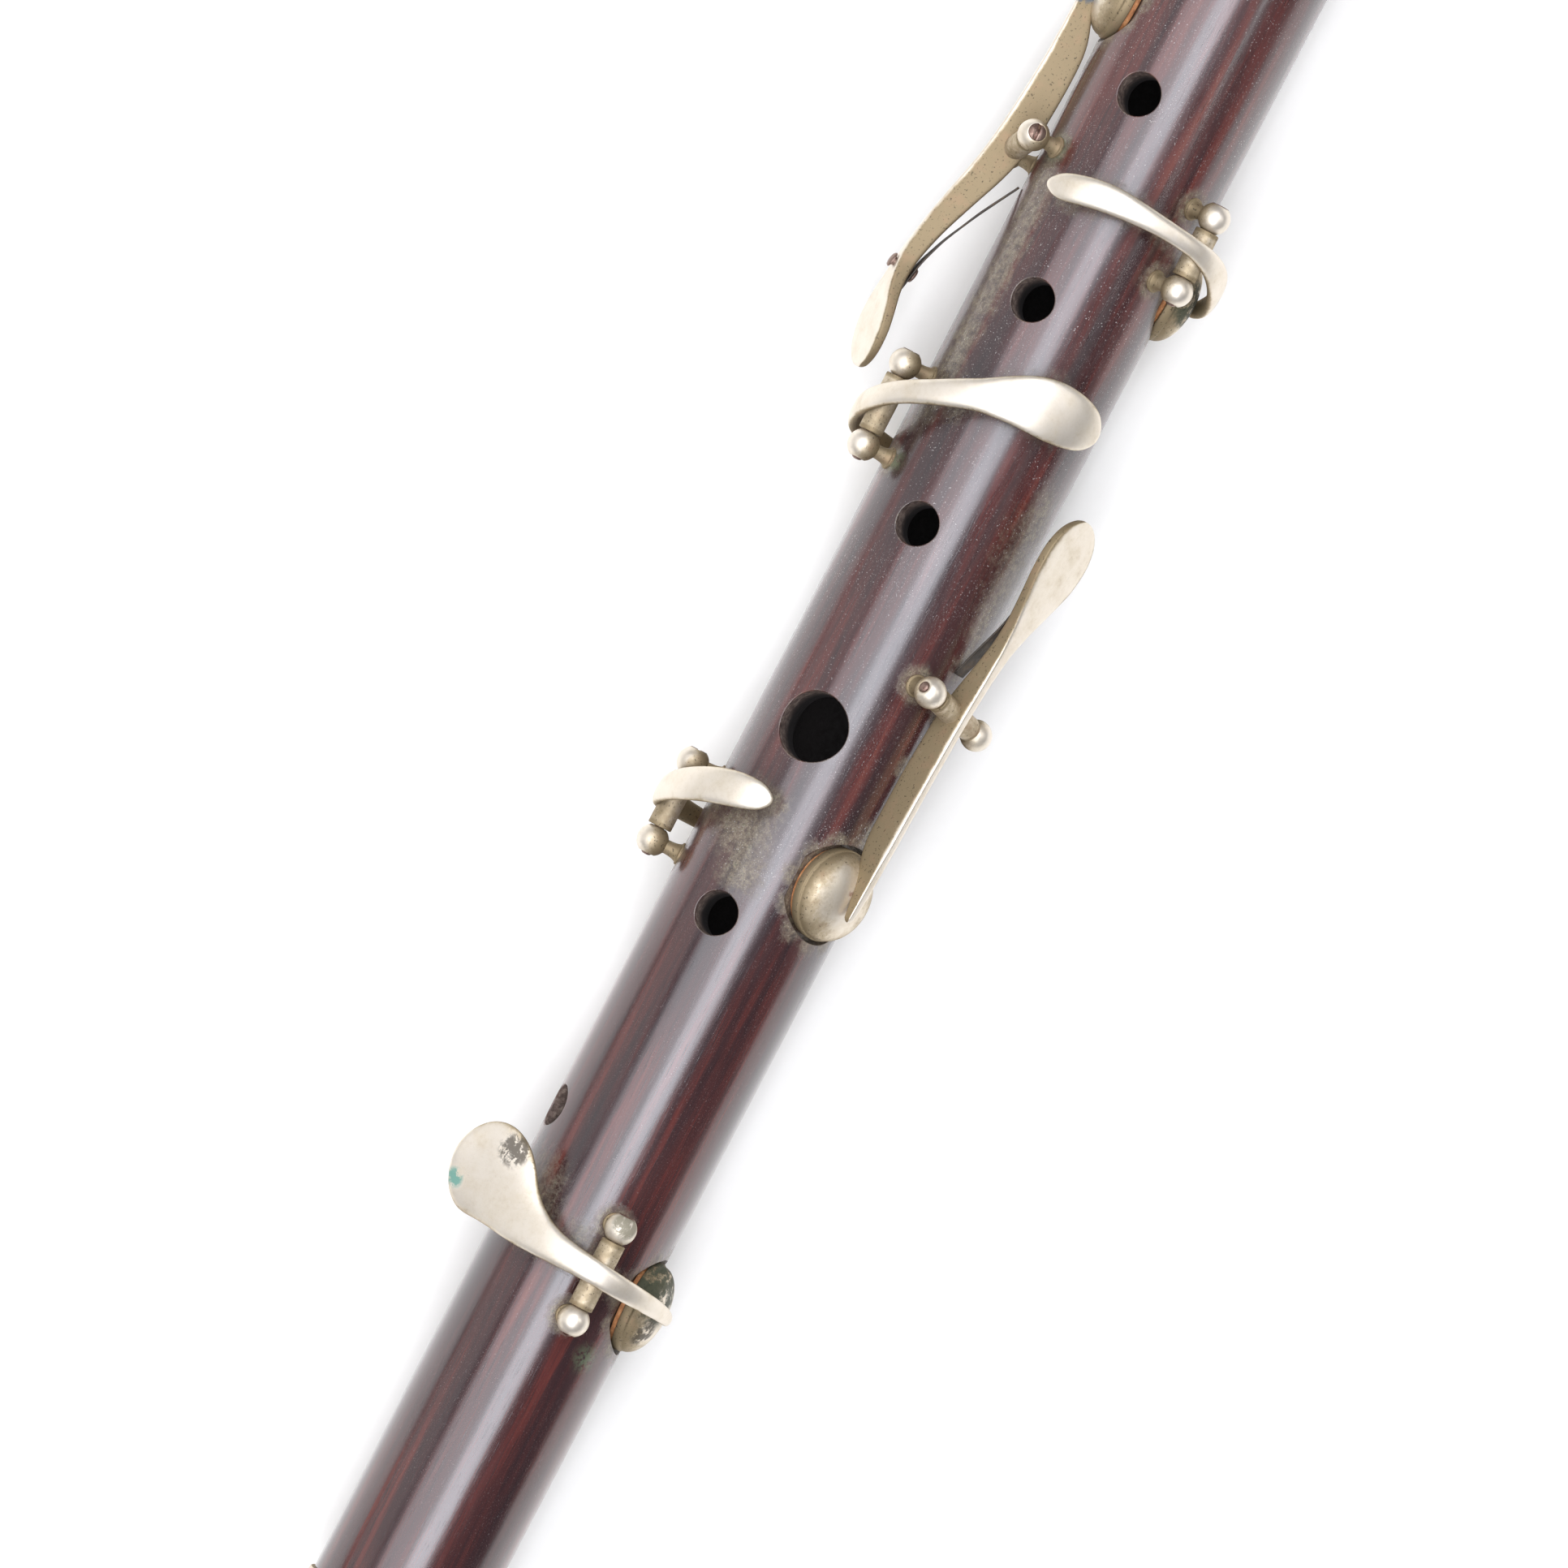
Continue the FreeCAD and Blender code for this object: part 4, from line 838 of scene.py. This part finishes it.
def grime_marks():
    """Points on the wood where dirt gathers, with how far it spreads and how thick it is."""
    marks = [(on_wood(x, angle), spread, weight) for x, angle, spread, weight in DUSTY_PLACES]
    for key in KEYS.values():
        for end in (-1, 1):
            x, angle, _ = ball_place(key, end)
            marks.append((on_wood(x, angle), 2.3, 1.0))
        for angle, radius, x, width, *_ in key["lever"]:
            height = radius - wood_radius(x)
            marks.append((on_wood(x, angle), 1.2 + width * 0.55, 0.75 - 0.07 * height))
        marks += [(on_wood(x, angle), 1.6, 0.55) for angle, _, x, *_ in key["spring"]]
        x, angle = key["cup_x"], key["cup_angle"]
        for turn in range(0, 360, 30):
            way = math.radians(turn)
            side = math.degrees(SEAT_RADIUS * math.sin(way) / wood_radius(x))
            place = about_bore(x + SEAT_RADIUS * math.cos(way), angle + side, wood_radius(x))
            marks.append((place, 1.7, 0.7))
    return marks


def grime_on(marks):
    """Wear painter that takes the strongest of the marks around a point."""
    places, spreads, weights = (np.array(column) for column in zip(*marks))

    def paint(points):
        worn = np.zeros(len(points))
        for start in range(0, len(points), 4000):
            gap = np.linalg.norm(points[start:start + 4000, None] - places[None], axis=2)
            worn[start:start + 4000] = (weights * np.clip(1 - gap / spreads, 0, 1) ** 0.8).max(axis=1)
        return worn
    return paint


def open_hole(x, angle, a, b, rim):
    """Describe one hole in a round surface."""
    return {"x": x, "angle": angle, "a": a, "b": b, "rim": rim}


def pad_seat(build, key, paint):
    """Cut one flat pad seat with its tone hole, and return these two holes."""
    x, angle = key["cup_x"], key["cup_angle"]
    radius = wood_radius(x)
    floor = radius - SEAT_DEPTH
    seat = open_hole(x, angle, SEAT_RADIUS, SEAT_RADIUS, SEAT_ROLL)
    seat["clip"] = math.sqrt(radius ** 2 - floor ** 2) - SEAT_ROLL
    tone = open_hole(x, angle, TONE_HOLE_RADIUS, TONE_HOLE_RADIUS, EDGE_ROLL)
    edge = rim_rings(seat, wood_radius, floor)
    ring_strip(build, edge, paint)
    foot = wall_ring(seat, lambda px, across: np.full(len(px), floor))
    ring_strip(build, [(edge[-1][0], foot[1]), foot], 0.9)
    rings = rim_rings(tone, flat=floor, steps=3)
    up = np.tile(radial(angle), (RIM_STEPS, 1))
    ring_strip(build, [(foot[0], up), (rings[0][0], up)], 0.8)
    drill_wall(build, tone, rings, bore_radius, 0.8)
    return seat, tone


def wooden_body():
    """Body tube: worn outer surface, chimneys, pad seats, bore, ring seats and socket."""
    build = Build()
    paint = grime_on(grime_marks())
    outer_holes, bore_holes = [], []
    for x, angle, radius in HOLES:
        hole = open_hole(x, angle, radius, radius, EDGE_ROLL)
        drill_wall(build, hole, rim_rings(hole, wood_radius), bore_radius, 0.25)
        outer_holes.append(hole)
        bore_holes.append(hole)
    for key in KEYS.values():
        seat, tone = pad_seat(build, key, paint)
        outer_holes.append(seat)
        bore_holes.append(tone)
    start, end = FOOT_RING_END + END_EDGE, SOCKET_RING_START - END_EDGE
    perforated(build, wood_radius, (start, end), outer_holes, (0.8, 2.5), paint)
    perforated(build, bore_radius, (1.0, SOCKET_START), bore_holes, (3.0, 7.5))
    foot_wood, top_wood = wood_radius(FOOT_RING_END), wood_radius(SOCKET_RING_START)
    turned(build, [
        (FOOT_BORE_RADIUS, 1.0), (FOOT_BORE_RADIUS, 0.0), (FOOT_SEAT_RADIUS, 0.0),
        (FOOT_SEAT_RADIUS, FOOT_RING_END), (foot_wood, FOOT_RING_END), (foot_wood, start),
    ], (0.3, 0.1, 0, 0.1), 0.7)
    turned(build, [
        (top_wood, end), (top_wood, SOCKET_RING_START), (SOCKET_SEAT_RADIUS, SOCKET_RING_START),
        (SOCKET_SEAT_RADIUS, BODY_END), (SOCKET_RADIUS, BODY_END), (SOCKET_RADIUS, SOCKET_START),
        (TOP_BORE_RADIUS, SOCKET_START),
    ], (0.1, 0, 0.1, 0.3, 0), 0.7)
    build.piece("body_tube", "body_joint", "rosewood", ROSEWOOD, BARE_WOOD_HOLE_SHADE)


# ---- rings, head and corks
def ring_look(node, body, start, end, inner, outer):
    """Turned end ring with a bead at each edge and two fine scored lines."""
    bead, groove = 0.55, 0.16
    first_half = [
        (outer - 0.12, 0.0), (outer, 0.15), (outer, bead), (outer - groove, bead + 0.1),
        (outer - groove, bead + 0.25), (outer - 0.05, bead + 0.4),
    ]
    corners = [(inner, start)] + [(radius, start + along) for radius, along in first_half]
    corners.append((outer - 0.02, (start + end) / 2))
    corners += [(radius, end - along) for radius, along in first_half[::-1]] + [(inner, end), (inner, start)]
    build = Build()
    turned(build, corners, [0.08] * 14, lambda r, h: 0.9 if r < outer - 0.1 else 0.25, steps=3)
    build.piece(node, body, "nickel_silver", PLAIN_SILVER)


HEAD_START = 198.3
HEAD_RING_END = 202.3
HEAD_END = 313.0
TENON_START = 181.6
TENON_RADIUS = 6.35
GROOVE_START = 183.5
GROOVE_END = 195.5
GROOVE_RADIUS = 5.95
HEAD_SEAT_RADIUS = 8.0
HEAD_BORE_RADIUS = 5.2
HEAD_LOW_RADIUS = 8.85
HEAD_LIP_RADIUS = 9.15
HEAD_TOP_RADIUS = 8.6
EMBOUCHURE_X = 292.0
EMBOUCHURE_LENGTH = 9.6
EMBOUCHURE_WIDTH = 8.2
FINGER_LINE = -20.0
STOPPER_START = 299.5
STOPPER_END = 307.0
STOPPER_RADIUS = 5.16
CROWN_START = 308.0


def head_radius(x):
    """Outer radius of the head joint, fullest at the embouchure."""
    return np.interp(x, (HEAD_RING_END, EMBOUCHURE_X, HEAD_END),
                     (HEAD_LOW_RADIUS, HEAD_LIP_RADIUS, HEAD_TOP_RADIUS))


def head_bore(x):
    """Radius of the cylindrical head bore."""
    return np.full(np.shape(x), HEAD_BORE_RADIUS)


def lip_wear(points):
    """Wear of the head joint, most where lips touch it."""
    gap = np.linalg.norm(points - about_bore(EMBOUCHURE_X, FINGER_LINE, HEAD_LIP_RADIUS), axis=1)
    return 0.45 * np.clip(1 - gap / 12, 0, 1)


def head_joint():
    """Head tube with its tenon and mouth hole."""
    build = Build()
    hole = open_hole(EMBOUCHURE_X, FINGER_LINE, EMBOUCHURE_LENGTH / 2, EMBOUCHURE_WIDTH / 2, EDGE_ROLL)
    drill_wall(build, hole, rim_rings(hole, head_radius), head_bore, 0.25)
    start, end = HEAD_RING_END + END_EDGE, HEAD_END - END_EDGE
    perforated(build, head_radius, (start, end), [hole], (1.0, 2.5), lip_wear)
    perforated(build, head_bore, (TENON_START + 1, HEAD_END - 1), [hole], (4.0, 7.5))
    turned(build, [
        (HEAD_BORE_RADIUS, TENON_START + 1), (HEAD_BORE_RADIUS, TENON_START), (TENON_RADIUS, TENON_START),
        (TENON_RADIUS, GROOVE_START), (GROOVE_RADIUS, GROOVE_START), (GROOVE_RADIUS, GROOVE_END),
        (TENON_RADIUS, GROOVE_END), (TENON_RADIUS, HEAD_START), (HEAD_SEAT_RADIUS, HEAD_START),
        (HEAD_SEAT_RADIUS, HEAD_RING_END), (HEAD_LOW_RADIUS, HEAD_RING_END), (HEAD_LOW_RADIUS, start),
    ], (0.2, 0.1, 0.05, 0, 0, 0.05, 0, 0.05, 0, 0.1), 0.6)
    turned(build, [
        (HEAD_TOP_RADIUS + 0.005, end), (HEAD_TOP_RADIUS, HEAD_END), (HEAD_BORE_RADIUS, HEAD_END),
        (HEAD_BORE_RADIUS, HEAD_END - 1),
    ], (0.1, 0.1), 0.6)
    build.piece("head_tube", "head_joint", "rosewood", ROSEWOOD, BARE_WOOD_HOLE_SHADE)


def head_fittings():
    """Crown, tenon cork and stopper."""
    build = Build()
    turned(build, [
        (0, CROWN_START), (5.18, CROWN_START), (5.18, 313.02), (8.68, 313.02), (9.0, 314.2), (8.9, 315.3),
        (8.2, 316.1), (8.0, 317.0), (8.0, 317.7), (7.0, 318.8), (5.2, 319.7), (2.6, 320.1), (0, 320.2),
    ], (0.15, 0, 0.2, 0.5, 0.5, 0.3, 0.3, 0.2, 0.5, 0.8, 1.0), lambda r, h: 0.6 if 315.5 < h < 317 else 0.15)
    build.piece("head_crown", "head_joint", "rosewood", ROSEWOOD)
    build = Build()
    start, end = GROOVE_START + 0.05, GROOVE_END - 0.05
    turned(build, [(5.98, start), (6.58, start), (6.61, 184.4), (6.61, 194.6), (6.58, end), (5.98, end),
                   (5.98, start)], (0.2, 0.3, 0.3, 0.2, 0), 0.0, 96)
    build.piece("tenon_cork", "head_cork", "cork", CORK)
    build = Build()
    turned(build, [(0, STOPPER_START), (STOPPER_RADIUS, STOPPER_START), (STOPPER_RADIUS, STOPPER_END),
                   (0, STOPPER_END)], (0.25, 0.25), 0.0, 96)
    build.piece("stopper_cork", "stopper", "cork", CORK)


# ---- keywork
def arc(radius, start, end, steps):
    """Outline points along an arc about the origin, with angles in degrees from the radius direction."""
    turns = np.radians(np.linspace(start, end, steps + 1))
    return [(radius * math.cos(t), radius * math.sin(t)) for t in turns]


def ball_outline(with_seat):
    """Outline of a post's ball: drilled, faceted at both sides, and let in for the screw's head or not."""
    rim = math.degrees(math.asin(BALL_FACET / BALL_RADIUS))
    hole, lip = SCREW_HOLE_RADIUS, SCREW_HOLE_RADIUS + 0.03
    outline = [(hole, -BALL_FACET + 0.4), (hole, -BALL_FACET + 0.03), (lip, -BALL_FACET)]
    if with_seat:
        seat = SCREW_HEAD_RADIUS + 0.02
        outline += arc(BALL_RADIUS, -rim, math.degrees(math.acos(seat / BALL_RADIUS)), 26)
        outline += [(seat, BALL_FACET - SCREW_HEAD_LENGTH), (hole, BALL_FACET - SCREW_HEAD_LENGTH)]
    else:
        outline += arc(BALL_RADIUS, -rim, rim, 26)
        outline += [(lip, BALL_FACET), (hole, BALL_FACET - 0.03)]
    return outline + [(hole, 0.0)]


def posts(name, key, metal):
    """Two ball-headed posts, drilled along the axle and faced towards the hinge tube."""
    build = Build()
    along = axle(key)[1]
    for end in (-1, 1):
        x, angle, radius = ball_place(key, end)
        centre, outward = about_bore(x, angle, radius), radial(angle)
        wood, neck_top = wood_radius(x), radius - 0.6 * BALL_RADIUS
        lathe(build, rounded([
            (0.60, wood - 0.3), (1.05, wood - 0.3), (1.05, wood + 0.14), (0.86, wood + 0.20),
            (0.74, wood + 0.5), (0.66, wood + 0.9), (0.62, neck_top), (0.5, neck_top + 0.3),
        ], (0, 0.06, 0.08, 0.2, 0.3, 0.2)), standing(x, angle), 40,
              lambda r, h, wood=wood: 1.0 if h < wood + 0.7 else 0.7)
        start = len(build.points)
        lathe(build, ball_outline(end > 0), basis(centre, along, outward), 56, 0.0)
        low = centre - outward * BALL_RADIUS
        lift = (np.array(build.points[start:]) - low) @ outward / (2 * BALL_RADIUS)
        build.wear[start:] = np.clip(1.05 - 1.15 * lift, 0.05, 1.0).tolist()
    build.piece(f"{name}_posts", "body_joint", "nickel_silver", metal)


def pivot_screw(name, key):
    """Pivot screw: domed pin end, rod, and a slotted head let into the upper ball."""
    build = Build()
    middle, along = axle(key)
    half = key["spacing"] / 2
    place = basis(middle, along, radial(key["axle_angle"]))
    tip, top = -(half + BALL_FACET + 0.2), half + BALL_FACET
    neck, slot_floor = top - SCREW_HEAD_LENGTH, top - SCREW_SLOT
    lathe(build, [
        (0, tip), (0.22, tip + 0.02), (0.38, tip + 0.07), (0.46, tip + 0.15), (SCREW_RADIUS, tip + 0.3),
        (SCREW_RADIUS, neck), (SCREW_HEAD_RADIUS, neck), (SCREW_HEAD_RADIUS, slot_floor), (0, slot_floor),
    ], place, 40, 0.5)
    cut = math.asin(SCREW_SLOT / 2 / SCREW_HEAD_RADIUS)
    turns = np.linspace(cut, math.pi - cut, 18)
    for way in (-1, 1):
        reach = way * SCREW_HEAD_RADIUS
        outline = [(reach * math.sin(turn), reach * math.cos(turn)) for turn in turns]
        slab(build, outline, place, slot_floor, top, 0.04, 0.35)
    build.piece(f"{name}_pivot_screw", "body_joint", "steel_screw", SCREW_STEEL)


def slab(build, outline, place, low, high, bevel, wear):
    """Flat plate with a bevelled top edge, from a closed outline in the place's x and y."""
    origin, matrix = place
    flat = np.array(outline)
    centre = flat.mean(axis=0)
    inner = centre + (flat - centre) * (1 - bevel / np.abs(flat - centre).max())
    count = len(flat)
    levels = ((flat, low), (flat, high - bevel), (inner, high))
    points = np.vstack([np.column_stack([ring, np.full(count, height)]) for ring, height in levels])
    area = 0.5 * float(np.sum(flat[:, 0] * np.roll(flat[:, 1], -1) - flat[:, 1] * np.roll(flat[:, 0], -1)))
    faces = quads(3, count) + [tuple(range(2 * count, 3 * count))]
    build.add(points @ matrix.T + origin, faces if area > 0 else [face[::-1] for face in faces], wear)


def hinge_tube(name, key, metal):
    """Hinge tube, bored for the pivot screw."""
    build = Build()
    middle, along = axle(key)
    reach = key["spacing"] / 2 - BALL_FACET - 0.05
    bore = TUBE_BORE_RADIUS
    outline = rounded([(bore, 0.5 - reach), (bore, -reach), (TUBE_RADIUS, -reach), (TUBE_RADIUS, reach),
                       (bore, reach), (bore, reach - 0.5)], (0.04, 0.12, 0.12, 0.04))
    lathe(build, densified(outline, 0.35), basis(middle, along, radial(key["axle_angle"])), 56,
          lambda r, h: 0.45 if abs(h) < reach - 0.2 else 0.9)
    build.piece(f"{name}_hinge_tube", f"{name}_key", "nickel_silver", metal)


def densified(outline, step):
    """Split the long runs of an outline."""
    out = [outline[0]]
    for before, after in zip(outline, outline[1:]):
        count = max(1, int(math.dist(before, after) / step))
        for part in range(1, count + 1):
            out.append(tuple(a + (b - a) * part / count for a, b in zip(before, after)))
    return out


def cup(name, key, metal):
    """Domed cup with a turned lip, and the leather pad that it holds."""
    x = key["cup_x"]
    place = standing(x, key["cup_angle"])
    rim = wood_radius(x) + CUP_RISE
    dome_radius, dome_start, dome_height = CUP_RADIUS - 0.14, rim + CUP_LIP, CUP_HEIGHT - CUP_LIP
    outline = [(0, rim + 1.25), (3.9, rim + 1.25), (3.93, rim + 0.05), (4.0, rim),
               (CUP_RADIUS - 0.08, rim), (CUP_RADIUS, rim + 0.08), (CUP_RADIUS, rim + CUP_LIP - 0.1),
               (CUP_RADIUS - 0.07, rim + CUP_LIP), (dome_radius, dome_start)]
    for step in range(1, 18):
        turn = math.pi / 2 * step / 18
        outline.append((dome_radius * math.cos(turn) ** 0.94, dome_start + dome_height * math.sin(turn)))
    outline.append((0, dome_start + dome_height))
    build = Build()
    lathe(build, outline, place, 96,
          lambda r, h: 1.0 if h < dome_start else max(0.15, 0.85 - 0.75 * (h - dome_start) / dome_height))
    build.piece(f"{name}_cup", f"{name}_key", "nickel_silver", metal)
    seat = wood_radius(x) - SEAT_DEPTH
    build = Build()
    lathe(build, rounded([
        (0, seat + 0.03), (3.4, seat + 0.03), (PAD_RADIUS - 0.06, seat + 0.09), (PAD_RADIUS, seat + 0.26),
        (PAD_RADIUS - 0.04, rim - 0.03), (3.86, rim - 0.02), (3.86, rim + 1.2), (0, rim + 1.2),
    ], (0.3, 0.1, 0.1, 0.05, 0.03, 0.03)), place, 72, 0.5)
    pad = build.piece(f"{name}_pad", f"{name}_key", "pad_leather", LEATHER)


def spring_axis(key):
    """Basis of a spring's screw: halfway between two stations, with z out of the lever."""
    first, second = key["spring"][:2]
    root = about_bore(first[2], first[0], first[1])
    ahead = about_bore(second[2], second[0], second[1])
    along = unit(ahead - root)
    outward = radial(first[0] + (first[5] if len(first) > 5 else 0))
    return basis((root + ahead) / 2, unit(outward - along * outward.dot(along)), along)


def spring(name, key):
    """Flat spring under the lever, and the small screw that holds it."""
    build = Build()
    sweep(build, key["spring"], 8, 3.0, 24, (0.3, 0.6), blunt=0.05)
    fixed, free = (tuple(about_bore(s[2], s[0], s[1]) * MM) for s in (key["spring"][1], key["spring"][-1]))
    build.piece(f"{name}_spring", f"{name}_key", "spring_steel", SPRING_STEEL,
                bend=("body_joint", fixed, free))
    under, reach = -0.12, key.get("rivet_reach", 0.9)
    head, shank = 0.72, 0.42
    outline = [(0, under - 0.3), (head * 0.7, under - 0.29), (head - 0.08, under - 0.24),
               (head, under - 0.12), (head, under), (shank, under), (shank, reach - 0.04)]
    if "rivet_reach" in key:
        outline += [(shank, reach), (head - 0.03, reach), (head, reach + 0.06), (head - 0.1, reach + 0.2),
                    (0.35, reach + 0.28), (0, reach + 0.3)]
    else:
        outline += [(0.38, reach), (0, reach)]
    build = Build()
    lathe(build, outline, spring_axis(key), 32, 0.5)
    build.piece(f"{name}_spring_screw", f"{name}_key", "steel_screw", SCREW_STEEL)


def lever(name, key, metal):
    """Lever from the touch to the cup: a blade on edge if the axle lies across the bore, or else a strap."""
    build = Build()
    power, soften = (6.0, 3.0) if "skew" in key else (2.3, 2.6)
    sweep(build, key["lever"], power, 6.0, 64, (0.10, 0.85), soften)
    build.piece(f"{name}_lever", f"{name}_key", "nickel_silver", metal)


VERDIGRIS = (0.045, 0.250, 0.200)
DARK_STAIN = (0.046, 0.034, 0.020)
OLIVE = (0.190, 0.170, 0.110)
SOLDER = (0.085, 0.110, 0.135)
RUST = (0.210, 0.095, 0.045)
GREEN_BLACK = (0.022, 0.036, 0.020)
PLAIN_SILVER = nickel_silver("nickel_silver")
# Stains of keys and of cups: middle, radius, tint and fineness.
SPOTS = {
    "low": [(about_bore(38.3, -66, 14.0), 1.7, VERDIGRIS, 900),
            (about_bore(43.1, -48, 11.8), 2.4, DARK_STAIN, 1300),
            (about_bore(42.0, 15, 12.0), 2.2, OLIVE, 500)],
    "low_cup": [(about_bore(38.4, 64, 10.2), 6.0, GREEN_BLACK, 420),
                (about_bore(33.6, 66, 10.2), 2.4, DARK_STAIN, 900)],
    "b_flat_cup": [(about_bore(137.4, 84, 10.2), 3.6, GREEN_BLACK, 600)],
    "long_f": [(about_bore(88.0, 52, 10.0), 0.8, DARK_STAIN, 1500)],
    "long_f_cup": [(about_bore(78.0, 51, 10.6), 1.7, SOLDER, 900),
                   (about_bore(77.0, 46, 10.6), 1.0, RUST, 1100)],
    "c": [(about_bore(158.0, -82, 11.2), 2.0, SOLDER, 900)],
}


def stained_silver(name):
    """The metal of a key, or of its cup alone, with its own stains if it has any."""
    return nickel_silver(f"nickel_silver_{name}", SPOTS[name]) if name in SPOTS else PLAIN_SILVER


def keywork():
    """All pieces of the six keys."""
    for name, key in KEYS.items():
        metal = stained_silver(name)
        posts(name, key, metal)
        pivot_screw(name, key)
        hinge_tube(name, key, metal)
        cup(name, key, stained_silver(f"{name}_cup"))
        spring(name, key)
        lever(name, key, metal)


# ---- scene
def light(name, place, target, size, power, colour=(1, 1, 1)):
    """Soft rectangular lamp aimed at a point, unseen by the camera itself."""
    data = bpy.data.lights.new(name, "AREA")
    data.shape = "RECTANGLE"
    data.size, data.size_y = size
    data.energy = power
    data.color = colour
    lamp = bpy.data.objects.new(name, data)
    lamp.location = place
    lamp.rotation_mode = "QUATERNION"
    lamp.rotation_quaternion = (Vector(target) - Vector(place)).to_track_quat("-Z", "Y")
    lamp.visible_camera = False
    bpy.context.scene.collection.objects.link(lamp)


def surroundings():
    """Pale floor under the flute, a dim world and four soft lamps."""
    mesh = bpy.data.meshes.new("floor")
    reach, level = 6.0, cad_low.z - 0.0002
    mesh.from_pydata([(-reach, -reach, level), (reach, -reach, level), (reach, reach, level),
                      (-reach, reach, level)], [], [(0, 1, 2, 3)])
    s = Shade("floor_paper")
    tone = s.ramp(s.noise(900, 3, 0.5), [(0.3, (0.850, 0.835, 0.795)), (0.7, (0.865, 0.850, 0.810))])
    mesh.materials.append(s.finish(Base_Color=tone, Roughness=0.9, Emission_Color=(1.0, 0.98, 0.94, 1.0),
                                   Emission_Strength=0.11, Normal=s.bump(s.noise(3000, 2, 0.5), 0.01, 0.3)))
    floor = bpy.data.objects.new("floor", mesh)
    bpy.context.scene.collection.objects.link(floor)

    world = bpy.data.worlds.new("room")
    bpy.context.scene.world = world
    world.use_nodes = True
    back = world.node_tree.nodes["Background"]
    back.inputs["Color"].default_value = (0.92, 0.94, 1.0, 1)
    back.inputs["Strength"].default_value = 0.12

    keys_x, axis_height = 0.095, 0.008
    centre = (keys_x, 0.0, axis_height)
    light("key", (keys_x, -0.08, 0.85), (keys_x, -0.02, axis_height), (1.5, 0.36), 10.0, (0.90, 0.925, 1.0))
    light("fill", (keys_x, 0.36, 0.82), (keys_x, 0.02, axis_height), (1.5, 0.54), 6.4, (0.93, 0.945, 1.0))
    light("side_panel", (keys_x, 1.3, 0.55), centre, (1.8, 0.9), 3.6)
    light("strip", (0.42, -0.62, 0.62), centre, (0.40, 0.05), 0.8)
    bpy.context.scene.view_settings.view_transform = "Standard"


def camera():
    """Camera straight above the keys, turned so that the foot end lies at the lower left."""
    data = bpy.data.cameras.new("camera")
    data.sensor_width = 36.0
    data.lens = 250.0
    data.clip_start, data.clip_end = 0.05, 20.0
    eye = bpy.data.objects.new("camera", data)
    right = Vector((0.4600, -0.8879, 0.0))
    upward = Vector((0.8879, 0.4600, 0.0))
    frame_width, focus_height = 139.1, 6.0
    distance = frame_width * data.lens / data.sensor_width
    eye.location = Vector((82.9, 2.57, focus_height + distance)) * MM
    eye.rotation_mode = "QUATERNION"
    columns = np.column_stack([right, upward, right.cross(upward)])
    eye.rotation_quaternion = Matrix(columns.tolist()).to_quaternion()
    bpy.context.scene.collection.objects.link(eye)
    bpy.context.scene.camera = eye


wooden_body()
ring_look("foot_ring", "body_joint", 0.0, FOOT_RING_END, 7.12, 8.05)
ring_look("socket_ring", "body_joint", SOCKET_RING_START, BODY_END, 7.87, 8.85)
ring_look("head_ring", "head_joint", HEAD_START, HEAD_RING_END, 8.02, 9.1)
head_joint()
head_fittings()
keywork()
surroundings()
camera()
